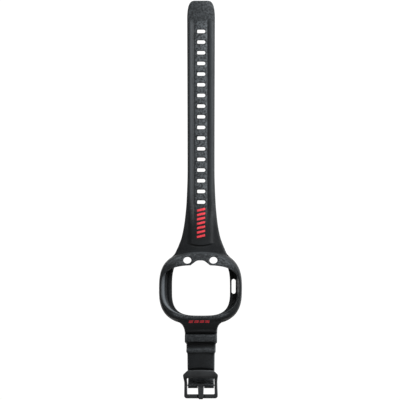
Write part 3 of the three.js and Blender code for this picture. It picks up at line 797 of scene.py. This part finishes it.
LINKS = ["frame"] + [f"long_strap_link_{i}" for i in range(1, 9)] + ["long_strap_tip"]
SEAMS = [LONG_SEAM, 48.8] + [78.3 + 2 * SLOT_PITCH * i for i in range(7)] + [TIP_Y]
SLOTS = [[]] + [[2 * i, 2 * i + 1] for i in range(7)] + [[14, 15, 16]]
ZONES = [(31.5, 38.5), (55.7, 70.7)]  # where each length would bend, as a start and an end along Y
ZONES += [(seam + 0.5, seam + 2 * SLOT_PITCH - 0.5) for seam in SEAMS[2:-1]]


def bend(made, first, second, zone):
    """Bakes the piece's placement into its mesh."""
    (zone[0] + SHIFT) * MM
    (zone[1] + SHIFT) * MM
    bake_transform(made)


def strap_grain_and_light(x, y, z):
    """Where the long strap has the coarse texture: its centre band between the slots, and faintly elsewhere
    on its upper side, more along the slotted length and most at the tip, where the lift is painted light."""
    band = (1 - smooth(4.3, 4.9, np.abs(x))) * smooth(58, 70, y) * (1 - smooth(200, 204, y))
    band = band * smooth(0.1, 1.0, slot_distance(x, y))
    # Painted light: the last term lightens the tip.
    plain = 0.01 + 0.15 * smooth(38, 70, y) + 0.17 * smooth(200, 206, y)
    return (z > 1.2) * (plain + 0.6 * band)


def strap_sheen(x, y, z):
    """A painted highlight along the tops of the long strap's two rails."""
    return (z > 0.9) * bell(np.abs(x), 7.6, 1.7) * smooth(60, 75, y) * (1 - smooth(200, 204, y))


def window_radius(angle):
    """The window's edge, a superellipse with a flat-topped notch between the button holes."""
    shape = np.where(np.sin(angle) > 0, WINDOW_SQUARE_UP, WINDOW_SQUARE_DOWN)
    window = squared_ellipse(angle, WINDOW_HALF, WINDOW_UP, WINDOW_DOWN, shape)
    x = np.linspace(-12, 12, 400)
    lip = (1 - np.abs(x / WINDOW_HALF) ** WINDOW_SQUARE_UP) ** (1 / WINDOW_SQUARE_UP)
    rise = -softer_max((np.abs(x) - 7.35) / 4.7, np.full(x.shape, -1.0), 0.3)
    lip = CENTRE_Y + WINDOW_UP * lip + size("notch_depth") * np.clip(rise, 0, 1)
    lip_angle, lip_radius = polar(x, lip)
    inside = (angle > lip_angle.min()) & (angle < lip_angle.max())
    return np.where(inside, np.interp(angle, lip_angle[::-1], lip_radius[::-1]), window)


def frame_levels(angle):
    """Closed curves round the frame's section, as (radius, height) over the angle about the opening's
    centre: the window's edge, the bezel's face, the crest, the outer wall, the underside, the opening's
    edge, the ledge with its groove, the cup's leaning wall and the underside of the bezel."""
    c, s = np.cos(angle), np.sin(angle)

    def at(radius):
        """x and y at a radius from the opening's centre."""
        return radius * c, CENTRE_Y + radius * s

    def level(radius, height):
        """One curve round the frame, where the height may be a single number."""
        return radius, np.broadcast_to(height, radius.shape)

    def under_bezel(radius):
        """Height of the bezel's underside, a shelf's thickness below its spine."""
        return bezel_spine(at(radius)[1]) - size("shelf")

    window = window_radius(angle)
    crest = np.maximum(crest_radius(angle), window + 0.55)
    edge, ringness = frame_edge(angle)
    edge = np.maximum(edge, crest + 0.45)
    levels = []
    for turn in (90, 65, 40, 20, 0):
        a = math.radians(turn)
        radius = window + 0.4 * (1 - math.sin(a))
        levels.append(level(radius, frame_top(*at(radius)) - 0.4 * (1 - math.cos(a))))
    start = window + 0.4
    for share in (0.06, 0.13, 0.21, 0.3, 0.39, 0.48, 0.57, 0.66, 0.75, 0.84, 0.92, 0.97, 1.0):
        radius = start + (crest - start) * share
        levels.append(level(radius, frame_top(*at(radius))))
    for turn in (6, 12, 19, 26, 34, 42, 50, 58, 66, 74, 82, 90):
        radius = crest + (edge - crest) * math.sin(math.radians(turn))
        levels.append(level(radius, frame_top(*at(radius))))
    brim = levels[-1][1]
    inset = np.where(seam_side(angle), 0, 0.4 + 1.9 * ringness)
    low = underside(*at(edge - inset))
    for share in (0.15, 0.32, 0.5, 0.68, 0.84):
        levels.append(level(edge - inset * share**2, brim + (low + 0.5 - brim) * share))
    for turn in (0, 30, 60, 90):
        a = math.radians(turn)
        pull = np.where(seam_side(angle), 0, 0.5)
        levels.append(level(edge - inset * 0.95 - pull * (1 - math.cos(a)), low + 0.5 * (1 - math.sin(a))))
    opening = squared_ellipse(angle, 21.8, 24.6, 20.0, 3.3)
    outside = levels[-1][0]
    for share in (0.12, 0.25, 0.4, 0.55, 0.7, 0.85):
        radius = outside + (opening + 0.3 - outside) * share
        levels.append(level(radius, underside(*at(radius))))
    floor = size("floor")
    for turn in (0, 30, 60, 90):
        a = math.radians(turn)
        levels.append(level(opening + 0.3 * (1 - math.sin(a)), 0.3 * (1 - math.cos(a))))
    levels.append(level(opening, floor / 2))
    for turn in (90, 60, 30, 0):
        a = math.radians(turn)
        levels.append(level(opening + 0.35 * (1 - math.sin(a)), floor - 0.35 * (1 - math.cos(a))))
    cup_foot, cup_rim = cup_wall(angle)
    cup_rim = np.maximum(cup_rim, window + 0.02)
    cup_foot = np.maximum(cup_foot, opening + 0.45)
    ledge = opening + 0.35
    groove = 0.7 * smooth(3.0, 4.0, cup_foot - ledge)
    for share, depth in ((0.3, 0), (0.55, 0), (0.62, 0.15), (0.68, 0.85), (0.74, 1), (0.9, 1)):
        radius = ledge + (cup_foot - 0.15 - ledge) * share
        levels.append(level(radius, floor - groove * depth))
    for share in (0.0, 0.04, 0.12, 0.28, 0.45, 0.62, 0.8, 0.93, 1.0):
        radius = cup_foot + (cup_rim - cup_foot) * share**0.6
        base = floor - groove * (1 - share) ** 6
        levels.append(level(radius, base + (under_bezel(cup_rim) - base) * share))
    for share in (0.75, 0.5, 0.25):
        radius = window + (cup_rim - window) * share
        levels.append(level(radius, under_bezel(radius)))
    ceiling = frame_top(*at(window + 0.45)) - size("shelf")
    levels.append(level(window, np.minimum(ceiling, levels[0][1] - 0.2)))
    return levels


def cup_wall(angle):
    """Radius of the cup's leaning wall at its foot and at its rim."""
    return [squared_ellipse(angle, RING_HALF - inset, 25.7, 20.4, RING_SQUARE) for inset in (4.9, 1.9)]


def fold(angle):
    """A direction turned onto the right-hand half, since both halves have the same outline."""
    return np.arctan2(np.sin(angle), np.abs(np.cos(angle)))


def seam_corners():
    """Directions from the opening's centre to the right-hand ends of the two seams."""
    return [math.atan2(seam - CENTRE_Y, float(half(np.array(seam))))
            for half, seam in ((long_half, LONG_SEAM), (lug_half, SHORT_SEAM))]


def seam_side(angle):
    """Whether a direction from the opening's centre meets a strap's seam, and not the frame's side."""
    up, down = seam_corners()
    return (fold(angle) > up + 1e-6) | (fold(angle) < down - 1e-6)


def frame_edge(angle):
    """Radius of the frame's outline, and how far it is ring and not strap: the larger of the ring and
    the straps' sides, cut straight at the two seams."""
    folded = fold(angle)
    reach = np.zeros_like(angle)
    for half, seam, root in ((long_half, LONG_SEAM, ROOT_UP), (lug_half, SHORT_SEAM, ROOT_DOWN)):
        y = np.linspace(root, seam, 200)
        x = half(y)
        x, y = np.append(x, np.linspace(x[-1], 0, 300)[1:]), np.append(y, np.full(299, seam))
        a, r = polar(x, y)
        order = np.argsort(a)
        inside = (folded >= a.min()) & (folded <= a.max() + 1e-9)
        reach = np.where(inside, np.interp(folded, a[order], r[order]), reach)
    ring = ring_radius(angle)
    ringness = smooth(-0.6, 0.5, ring - reach)
    return np.maximum(ring, reach), ringness


def underside(x, y):
    """The frame's flat back, hollow under the long strap's root."""
    return HOLLOW * hollow_share(x, y)


def frame_angles():
    """Angles all round, with the nearest ones moved onto the outline's corners."""
    angle = np.linspace(-np.pi, np.pi, 420, endpoint=False)
    dense = np.linspace(0.6, 1.2, 4000)
    _, ringness = frame_edge(dense)
    joint = dense[np.argmin(np.abs(ringness - 0.55))]
    up, down = seam_corners()
    for corner in (up, np.pi - up, down, -np.pi - down, joint, np.pi - joint):
        angle[np.argmin(np.abs(angle - corner))] = corner
    return np.sort(angle)


def cut(made, points, quads):
    """Takes a closed solid, given in the drawing, out of a piece."""
    tool = make_object("cutter", points, quads, "strap rubber", "strap_rubber")
    modifier = made.modifiers.new("cut", "BOOLEAN")
    modifier.operation, modifier.solver, modifier.object = "DIFFERENCE", "EXACT", tool
    graph = bpy.context.evaluated_depsgraph_get()
    result = bpy.data.meshes.new_from_object(made.evaluated_get(graph))
    made.modifiers.clear()
    old, made.data = made.data, result
    bpy.data.meshes.remove(old)
    spare = tool.data
    bpy.data.objects.remove(tool)
    bpy.data.meshes.remove(spare)
    drop_fins(result)


def drop_fins(mesh):
    """Takes out faces that lie back to back, which a cut leaves where two walls are nearly in line."""
    work = bmesh.new()
    work.from_mesh(mesh)
    split = [face for face in work.faces if any(len(vert.link_edges) == 2 for vert in face.verts)]
    bmesh.ops.triangulate(work, faces=split)
    twins = {}
    for face in work.faces:
        twins.setdefault(frozenset(vert.index for vert in face.verts), []).append(face)
    spare = [face for pair in twins.values() if len(pair) > 1 for face in pair]
    bmesh.ops.delete(work, geom=spare, context="FACES")
    work.to_mesh(mesh)
    work.free()


def prism(outline, low, high):
    """A closed upright solid over a round outline, with a middle point in each end."""
    count = len(outline)
    middle = outline.mean(0)
    ring = np.arange(count)
    nxt = np.roll(ring, -1)
    points = np.vstack([np.column_stack([outline, np.full(count, z)]) for z in (low, high)]
                       + [np.append(middle, low), np.append(middle, high)])
    sides = np.column_stack([ring, nxt, nxt + count, ring + count])
    floor = np.column_stack([nxt, ring, np.full(count, 2 * count), np.full(count, 2 * count)])
    lid = np.column_stack([ring + count, nxt + count, np.full(count, 2 * count + 1),
                           np.full(count, 2 * count + 1)])
    return points, np.vstack([sides, floor, lid])


class DIVE_STRAP_OT_frame(bpy.types.Operator):
    """Frame with its bezel, cup, ledge, button holes and port slot"""

    bl_idname = "dive_strap.frame"
    bl_label = "Frame"

    def execute(self, context):
        angle = frame_angles()
        levels = frame_levels(angle)
        c, s = np.cos(angle), np.sin(angle)
        points = np.stack([np.stack([r * c, CENTRE_Y + r * s, z], -1) for r, z in levels])
        quads = grid_quads(len(levels), len(angle), around=True, along=True)[:, ::-1]
        made = make_object("frame_shell", points.reshape(-1, 3), quads, "strap rubber", "strap_rubber")
        round_way = np.linspace(0, 2 * np.pi, 72, endpoint=False)
        for sign in (-1, 1):
            outline = np.column_stack([sign * HOLE_X + size("hole_length") / 2 * np.cos(round_way),
                                       HOLE_Y + size("hole_width") / 2 * np.sin(round_way)])
            cut(made, *prism(outline, 3.6, 14))
        port_y = PORT_Y + PORT_CORE * np.sign(np.sin(round_way + 1e-9))
        port = np.column_stack([PORT_X + PORT_RADIUS * np.cos(round_way),
                                port_y + PORT_RADIUS * np.sin(round_way)])
        cut(made, *prism(port, -1, 4.2))
        made.data.set_sharp_from_angle(angle=math.radians(SHARP))

        def grain(x, y, z):
            """Coarse texture on the bezel's face above the window and in a strip below it. Above the window
            it is also painted light: lighter towards the sides and most to the right, and darker at the far
            left, as light from the right falls on it.
            """
            turn, radius = polar(x, y)
            face = (radius < crest_radius(turn) - 0.3) & (z > 5)
            # Painted light: lighter towards the sides and to the right, darker at the far left.
            shelf = smooth(10, 18, y) * (0.16 + 0.14 * smooth(5, 14, np.abs(x)) + 0.14 * smooth(5, 18, x))
            shelf = shelf * (0.25 + 0.75 * smooth(-23, -14, x))
            return 0.04 + face * (shelf + 0.5 * smooth(-16, -18.5, y) * (1 - smooth(-20.5, -22.5, y)))

        def satin(x, y, z):
            """A painted sheen: an even light grey on the cup's leaning wall, fading towards its rim."""
            turn, radius = polar(x, y)
            foot, rim = cup_wall(turn)
            inside = (z > 2.2) & (z < 8.6) & (radius > foot - 0.1) & (radius < rim + 0.1)
            return inside * smooth(2.4, 3.4, z) * (1 - 0.7 * smooth(5.0, 8.0, z))

        def wear(x, y, z):
            """A painted highlight along the crest, mostly at its upper end."""
            turn, radius = polar(x, y)
            line = bell(radius - crest_radius(turn), -0.1, 0.55)
            return line * (z > 4) * (0.12 + 0.6 * smooth(15, 22, y))

        paint(made, "grain", grain)
        paint(made, "wear", wear)
        paint(made, "satin", satin)
        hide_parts("frame")
        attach(made, "frame")
        return {"FINISHED"}


class DIVE_STRAP_OT_long_strap(bpy.types.Operator):
    """Long strap, in lengths that each lie across one hinge"""

    bl_idname = "dive_strap.long_strap"
    bl_label = "Long strap"

    def execute(self, context):
        for i, slots in enumerate(SLOTS):
            points, quads = slab(*strap_plan(SEAMS[i], SEAMS[i + 1], slots), long_top, long_bottom)
            made = make_object(f"long_strap_length_{i + 1}", points, quads, "strap rubber", "strap_rubber")
            paint(made, "grain", strap_grain_and_light)
            paint(made, "wear", strap_sheen)
            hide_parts(LINKS[i + 1])
            bend(made, LINKS[i], LINKS[i + 1], ZONES[i])
        return {"FINISHED"}


def short_grain_and_light(x, y, z):
    """Where the short strap has the coarse texture: the tops of its ribs and its end. Its grooves are left
    without it and stay darker, as painted shade, and its right side is a little lighter, as painted light.
    """
    ribs = (smooth(-31.5, -32.6, y) * (1 - smooth(-38.0, -38.9, y))
            + smooth(-42.8, -43.8, y) * (1 - smooth(-46.0, -47.6, y)))
    # Painted light: the x term lightens the right side; the grooves left out are painted shade.
    return 0.02 + 0.24 * ribs + 0.06 * smooth(-2, 8, x) + 0.2 * smooth(-62, -67, y)


def short_wear(x, y, z):
    """Where the short strap rubs: along its upper side edges."""
    return (z > 1) * (1 - smooth(0.1, 1.3, side_distance(x, y, lug_half)))


class DIVE_STRAP_OT_short_strap(bpy.types.Operator):
    """Short strap with its two flex grooves, its ribs and its round end"""

    bl_idname = "dive_strap.short_strap"
    bl_label = "Short strap"

    def execute(self, context):
        rib, even_end = -36.8, -68.0  # the seam in the rib's middle, and where the even rows stop
        lengths = [
            ("short_strap_root", SHORT_SEAM, rib, "frame", "short_strap_rib_link", (-29.4, -35.4)),
            ("short_strap_plain", rib, END_Y, "short_strap_rib_link", "short_strap_end", (-38.4, -44.0)),
        ]
        for name, start, end, first, second, zone in lengths:
            run = start - max(end, even_end)
            rows = start - np.linspace(0, run, int(run / 0.3))
            if end < even_end:
                turn = np.radians(np.linspace(-55, 90, 26))
                rows = np.concatenate([rows, np.linspace(even_end - 0.2, LUG_GAP_Y, 6),
                                       [LUG_GAP_Y - 0.02], BAR_Y + (END_Y - BAR_Y) * np.sin(turn)])
            body = rows[rows >= LUG_WEB_Y]
            blocks = flanks(rows, lug_half, LUG_GAP_HALF, SIDE_ROUND)
            columns = np.linspace(-LUG_GAP_HALF, LUG_GAP_HALF, 9)
            columns = np.insert(columns, [1, 8], [0.02 - LUG_GAP_HALF, LUG_GAP_HALF - 0.02])
            x = np.broadcast_to(columns, (len(body), len(columns)))
            blocks.append(plan_grid(x, np.broadcast_to(body[:, None], x.shape)))
            points, quads = slab(*join(blocks), short_top, short_bottom)
            made = make_object(name, points, quads, "strap rubber", "strap_rubber")
            paint(made, "grain", short_grain_and_light)
            paint(made, "wear", short_wear)
            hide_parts(second)
            bend(made, first, second, zone)
        return {"FINISHED"}


def mark(name, bars, surface):
    """Slanted bars printed just proud of a surface: each is a small grid over its own parallelogram,
    given by its middle, its half lengths and how far each half length slants."""
    share = np.array([-1, -0.93, -0.8, -0.4, 0, 0.4, 0.8, 0.93, 1])
    a, b = np.meshgrid(share, share)
    proud = size("mark_height") * np.minimum(1, 8 * (1 - np.maximum(np.abs(a), np.abs(b))) + 0.35)
    blocks = []
    for x, y, half_x, half_y, slant_x, slant_y in bars:
        plan, quads = plan_grid(x + half_x * a + slant_x * b, y + half_y * b + slant_y * a)
        flat, faces = slab(plan, quads, surface, lambda u, v: surface(u, v) - 0.3)
        # slab() puts the plan in another order, so each rise finds its point by sorting both alike.
        order = np.lexsort((plan[:, 1], plan[:, 0]))
        where = np.lexsort((flat[: len(plan), 1], flat[: len(plan), 0]))
        rise = np.zeros(len(flat))
        rise[where] = proud.ravel()[order]
        blocks.append((flat + rise[:, None] * np.array([0, 0, 1]), faces))
    points, faces = join(blocks)
    return make_object(name, points, faces, "red inlay", "strap_rubber", 60)


class DIVE_STRAP_OT_marks(bpy.types.Operator):
    """Plain red slanted bars on the long strap's panel and on the frame's lower bezel"""

    bl_idname = "dive_strap.marks"
    bl_label = "Red marks"

    def execute(self, context):
        bars = [(0.2, 40.7 + 3.3 * i, 3.05, 0.85, 0.0, 0.7) for i in range(7)]
        made = mark("strap_mark", bars, long_top)
        bend(made, LINKS[1], LINKS[2], ZONES[1])
        bars = [(-7.1 + 4.1 * i, -23.4, 1.6, 0.85, 0.3, 0.0) for i in range(4)]
        made = mark("frame_mark", bars, frame_top)
        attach(made, "frame")
        return {"FINISHED"}


# The buckle's side view: its upper line and its lower line over y.
buckle_rise = through(
    [(-80.95, 2.85), (-80.2, 3.05), (-77.75, 3.35), (-74.5, 4.1), (-71.1, 4.95), (-69.6, 5.25),
     (-66.5, 6.9), (-64.2, 7.9), (-61.1, 8.1), (-59.0, 7.75)])
buckle_under = through(
    [(-80.95, 0.0), (-77.75, 0.0), (-73.5, 0.75), (-72.0, 0.5), (-69.9, 0.5), (-68.6, 2.5), (-64.7, 6.25),
     (-59.0, 6.3)])


class DIVE_STRAP_OT_buckle(bpy.types.Operator):
    """Buckle frame: an arched bridge, two rails and a rest bar with a seat for the tongue"""

    bl_idname = "dive_strap.buckle"
    bl_label = "Buckle frame"

    def execute(self, context):
        near, far = BUCKLE_LOW[1] - SHIFT, -60.1
        half = BUCKLE_HIGH[0] - 0.3
        bridge, shoulder, corner_round, centre = 9.75, 13.1, 2, -70.5
        turn = np.radians(np.linspace(0, 90, 9))
        right = [(bridge, far), (10.4, far - 0.45), (12.7, far - 2.6), (shoulder, far - 3.3),
                 (shoulder, -64.6), (half - 0.22, -68.6), (half - 0.25, BAR_Y), (half - 0.1, -75.5),
                 (half, near + 2.2)]
        right += [(half - corner_round * (1 - math.cos(a)), near + corner_round * (1 - math.sin(a)))
                  for a in turn]
        arch = [(x, far + 0.4 * (1 - (x / bridge) ** 2)) for x in np.linspace(-9.3, 9.3, 15)]
        outer = np.array([(-x, y) for x, y in right[::-1]] + arch + right)

        def radius(outline, angle):
            """An outline's radius about the buckle's middle, over the angle."""
            a = np.arctan2(outline[:, 1] - centre, outline[:, 0])
            order = np.argsort(a)
            r = np.hypot(outline[:, 0], outline[:, 1] - centre)
            return np.interp(angle, a[order], r[order], period=2 * np.pi)

        def dense(outline):
            """An outline with 24 points on each of its straight stretches."""
            nxt = np.roll(outline, -1, 0)
            share = np.linspace(0, 1, 24, endpoint=False)[:, None, None]
            return (outline + (nxt - outline) * share).transpose(1, 0, 2).reshape(-1, 2)

        inner_x, inner_low, inner_high, corner = 10.3, -77.75, -65.9, 0.55
        low, high = inner_low + corner, inner_high - corner
        window = np.array([
            (side * (inner_x - corner + corner * math.cos(a)),
             high + corner * math.sin(a) if up else low - corner * math.sin(a))
            for side, up, order in ((1, True, 1), (-1, True, -1), (-1, False, 1), (1, False, -1))
            for a in turn[::order]])
        spots = np.arctan2(outer[:, 1] - centre, outer[:, 0])
        angle = np.unique(np.round(np.concatenate([
            np.linspace(-np.pi, np.pi, 220, endpoint=False), spots,
            np.arctan2(window[:, 1] - centre, window[:, 0])]), 5))
        angle = angle[np.append(True, np.diff(angle) > 0.004)]
        outside, inside = dense(outer), dense(window)
        r_out, r_in = radius(outside, angle), radius(inside, angle)
        share = 0.5 - 0.5 * np.cos(np.linspace(0, np.pi, 23))
        r = r_in + (r_out - r_in) * share[:, None]
        plan = np.column_stack([(r * np.cos(angle)).ravel(), (centre + r * np.sin(angle)).ravel()])
        quads = grid_quads(len(share), len(angle), around=True)
        edge, seat_height = size("buckle_edge"), 2.45

        def inside_by(x, y):
            """Distance to the nearer of the two outlines."""
            return np.minimum(distance_to(x, y, outer), distance_to(x, y, window))

        def top(x, y):
            """The side view's upper line, crowned over the bridge, rounded at both outlines, with a
            seat for the tongue in the rest bar."""
            z = buckle_rise(y) + 0.25 * (1 - (x / 12.6) ** 2) * smooth(-66, -63, y)
            z = z - rounding(inside_by(x, y), edge, edge)
            seat = (1 - smooth(2.35, 2.75, np.abs(x))) * (1 - smooth(-77.0, -76.4, y))
            return z * (1 - seat) + np.minimum(z, seat_height) * seat

        def bottom(x, y):
            """The side view's lower line, rounded at both outlines."""
            return buckle_under(y) + rounding(inside_by(x, y), edge * 0.7, edge * 0.6)

        points, faces = slab(plan, quads, top, bottom)
        made = make_object("buckle_loop", points, faces, "buckle coating", "buckle_coating")
        paint(made, "wear", lambda x, y, z: 0.5 - 0.5 * smooth(0.1, 0.9, inside_by(x, y)))
        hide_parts("buckle_frame")
        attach(made, "buckle_frame")
        return {"FINISHED"}


class DIVE_STRAP_OT_tongue(bpy.types.Operator):
    """Tongue, rolled round the spring bar at one end and resting on the buckle at the other"""

    bl_idname = "dive_strap.tongue"
    bl_label = "Tongue"

    def execute(self, context):
        low, high = corners("buckle_tongue")
        tip_y, half = low[1] - SHIFT, high[0]
        eye_thick, gap = 0.6, 0.1
        eye = BAR_R + gap + eye_thick / 2
        roll = np.radians(np.linspace(-128, 92, 34))
        run = through([(0, BAR_Z + eye), (1.4, BAR_Z + eye - 0.12), (4.2, 3.4), (6.65, 3.42), (9.0, 3.38),
                       (BAR_Y - tip_y, 2.75)])
        along = np.linspace(0.25, BAR_Y - tip_y, 46)
        # The tongue's middle line, as (y, z): round the bar, then out to the tip.
        path = np.vstack([np.column_stack([BAR_Y + eye * np.cos(roll), BAR_Z + eye * np.sin(roll)]),
                          np.column_stack([BAR_Y - along, run(along)])])
        ahead = np.gradient(path, axis=0)
        ahead /= np.linalg.norm(ahead, axis=1)[:, None]
        across = np.column_stack([-ahead[:, 1], ahead[:, 0]])
        travel = np.append(0, np.cumsum(np.linalg.norm(np.diff(path, axis=0), axis=1)))
        neck, left = travel[len(roll) - 1], travel[-1] - travel
        thick = eye_thick + 0.65 * smooth(neck + 0.8, neck + 4.6, travel)
        thick = thick * np.sqrt(1 - 0.75 * np.clip(1 - left / 1.2, 0, 1) ** 2)
        wide = half * (1 - 0.12 * smooth(neck, travel[-1], travel))
        wide = wide * np.sqrt(1 - 0.62 * np.clip(1 - left / 1.5, 0, 1) ** 2)
        turn = np.linspace(0, 2 * np.pi, 44, endpoint=False)
        cx = np.sign(np.cos(turn)) * np.abs(np.cos(turn)) ** 0.32
        cz = np.sign(np.sin(turn)) * np.abs(np.sin(turn)) ** 0.5
        x = wide[:, None] * cx
        y = path[:, :1] + across[:, :1] * cz * thick[:, None] / 2
        z = path[:, 1:] + across[:, 1:] * cz * thick[:, None] / 2
        points = np.stack([x, y, z], -1)
        points, quads = closed_tube(points)
        made = make_object("tongue", points, quads[:, ::-1], "buckle coating", "buckle_coating", 60)
        paint(made, "wear", lambda x, y, z: smooth(0.72, 1.0, np.abs(x) / half) * (z > 2.5))
        if points[:, 1].min() < tip_y - 1:
            raise RuntimeError("the tongue reaches past its CAD node")
        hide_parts("buckle_tongue")
        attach(made, "buckle_tongue" if "buckle_tongue" in frame["bodies"] else "buckle_frame")
        return {"FINISHED"}


class DIVE_STRAP_OT_spring_bar(bpy.types.Operator):
    """Spring bar: a smooth crimped tube, with steel on its two tips and its coil"""

    bl_idname = "dive_strap.spring_bar"
    bl_label = "Spring bar"

    def execute(self, context):
        end, mouth, bore, crimp = BAR_HALF, 0.48, 0.62, 0.3
        turn = np.radians(np.linspace(0, 90, 6))
        shoulder = [(BAR_R - crimp * (1 - math.sin(a)), end - crimp * (1 - math.cos(a))) for a in turn]
        inside = [(mouth, end), (mouth, end - 0.6), (bore, end - 0.7)]
        half = inside[::-1] + shoulder
        rings = [(BAR_R, x) for x in np.linspace(end - 1, 1 - end, 20)]
        profile = half + rings + [(r, -x) for r, x in half[::-1]]
        points, quads = lathe(profile, BAR_Y, BAR_Z, 64)
        made = make_object("spring_bar_barrel", points, quads, "spring bar steel", "spring_bar_steel")
        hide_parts("spring_bar_tube")
        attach(made, "short_strap_end")
        low, high = corners("spring_bar_coil")
        wire, turns, reach = 0.1, 9, high[0]  # each half has its own 9 turns
        coil_radius = (high[2] - low[2]) / 2 - wire
        for side, sign in (("right", 1), ("left", -1)):
            t = np.linspace(0, 1, 20 * turns + 1)[:, None]
            a = 2 * np.pi * turns * t
            centre = np.concatenate([sign * reach * t, BAR_Y + coil_radius * np.cos(a),
                                     BAR_Z + coil_radius * sign * np.sin(a)], 1)
            ahead = np.gradient(centre, axis=0)
            ahead /= np.linalg.norm(ahead, axis=1)[:, None]
            outward = (centre - np.array([0, BAR_Y, BAR_Z])) * np.array([0, 1, 1]) / coil_radius
            third = np.cross(ahead, outward)
            third /= np.linalg.norm(third, axis=1)[:, None]
            round_way = np.linspace(0, 2 * np.pi, 8, endpoint=False)[None, :, None]
            tube = centre[:, None] + wire * (np.cos(round_way) * outward[:, None]
                                             + np.sin(round_way) * third[:, None])
            made = make_object(f"spring_coil_{side}", *closed_tube(tube), "spring bar steel",
                               "spring_bar_steel", 70)
            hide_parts("spring_bar_coil")
            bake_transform(made)
        for node in ("spring_bar_tip_right", "spring_bar_tip_left"):
            kept = frame["nodes"][node]
            kept.data.materials.clear()
            kept.data.materials.append(finish("spring bar steel"))
        return {"FINISHED"}


class DIVE_STRAP_OT_stage(bpy.types.Operator):
    """Plain pale floor, three lamps and a camera that looks down, leaning a little to the right"""

    bl_idname = "dive_strap.stage"
    bl_label = "Stage"

    def execute(self, context):
        scene, stage = context.scene, context.scene.dive_strap_stage
        steps, reach, drop = 9, 4, 0.15
        x, y = np.meshgrid(*[np.linspace(-reach, reach, steps)] * 2)
        mesh = bpy.data.meshes.new("floor")
        mesh.from_pydata(np.column_stack([x.ravel(), y.ravel(), np.full(x.size, -drop)]).tolist(), [],
                         grid_quads(steps, steps).tolist())
        mesh.materials.append(finish("pale floor"))
        floor = bpy.data.objects.new("floor", mesh)
        scene.collection.objects.link(floor)

        def lamp(name, spot, aim, power, wide):
            """An area lamp at a spot, turned to face its aim."""
            data = bpy.data.lights.new(name, "AREA")
            data.energy, data.shape, data.size, data.size_y = power, "RECTANGLE", wide[0], wide[1]
            made = bpy.data.objects.new(name, data)
            made.location = spot
            way = np.array(aim) - np.array(spot)
            flat = math.hypot(way[0], way[1])
            made.rotation_euler = (math.atan2(flat, -way[2]), 0, math.atan2(way[1], way[0]) - math.pi / 2)
            scene.collection.objects.link(made)
            return made

        key = lamp("key", (0.44, 0.42, 0.36), (0, 0.02, 0), stage.key, (0.34, 0.34))
        key.visible_glossy = False  # its glare would whiten flat black tops seen from low down
        lamp("sheen", (0.55, 0.5, 0.62), (0, 0, 0), stage.key * 0.4, (0.8, 0.8))
        lamp("front", (-0.5, -0.9, 0.9), (0, 0, 0), stage.key * 0.06, (0.9, 0.6))
        world = bpy.data.worlds.new("room")
        scene.world = world
        world.use_nodes = True
        world.node_tree.nodes["Background"].inputs["Color"].default_value = (1, 1, 1, 1)
        world.node_tree.nodes["Background"].inputs["Strength"].default_value = stage.fill
        scene.view_settings.view_transform = "Standard"

        camera = bpy.data.objects.new("camera", bpy.data.cameras.new("camera"))
        scene.collection.objects.link(camera)
        camera.data.type = "ORTHO"
        camera.data.ortho_scale = 0.3
        camera.data.clip_end = 20
        camera.rotation_euler = (0, stage.tilt, 0)
        away, aim_x, aim_y = 1.2, -0.00085, -0.00008
        camera.location = (aim_x + math.sin(stage.tilt) * away, aim_y, math.cos(stage.tilt) * away)
        scene.camera = camera
        return {"FINISHED"}


OPERATORS = [
    DIVE_STRAP_OT_stage, DIVE_STRAP_OT_frame, DIVE_STRAP_OT_long_strap, DIVE_STRAP_OT_short_strap,
    DIVE_STRAP_OT_marks, DIVE_STRAP_OT_buckle, DIVE_STRAP_OT_tongue, DIVE_STRAP_OT_spring_bar,
]


class DIVE_STRAP_PT_panel(bpy.types.Panel):
    """Sizes, colours and pieces of the strap"""

    bl_idname = "DIVE_STRAP_PT_panel"
    bl_label = "Dive strap"
    bl_space_type = "VIEW_3D"
    bl_region_type = "UI"
    bl_category = "Dive strap"

    def draw(self, context):
        for group in (context.scene.dive_strap_sizes, context.scene.dive_strap_colours,
                      context.scene.dive_strap_stage):
            column = self.layout.column()
            for key in group.bl_rna.properties.keys():
                if key not in ("rna_type", "name"):
                    column.prop(group, key)
        for operator in OPERATORS:
            self.layout.operator(operator.bl_idname)


CLASSES = [DIVE_STRAP_PG_sizes, DIVE_STRAP_PG_colours, DIVE_STRAP_PG_stage, *OPERATORS, DIVE_STRAP_PT_panel]


def register():
    for cls in CLASSES:
        bpy.utils.register_class(cls)
    bpy.types.Scene.dive_strap_sizes = PointerProperty(type=DIVE_STRAP_PG_sizes)
    bpy.types.Scene.dive_strap_colours = PointerProperty(type=DIVE_STRAP_PG_colours)
    bpy.types.Scene.dive_strap_stage = PointerProperty(type=DIVE_STRAP_PG_stage)


def unregister():
    for name in ("dive_strap_sizes", "dive_strap_colours", "dive_strap_stage"):
        delattr(bpy.types.Scene, name)
    for cls in reversed(CLASSES):
        bpy.utils.unregister_class(cls)


def main():
    """Registers the add-on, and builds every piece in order."""
    register()
    for operator in OPERATORS:
        getattr(bpy.ops.dive_strap, operator.bl_idname.split(".")[1])()


if __name__ == "__main__":
    main()
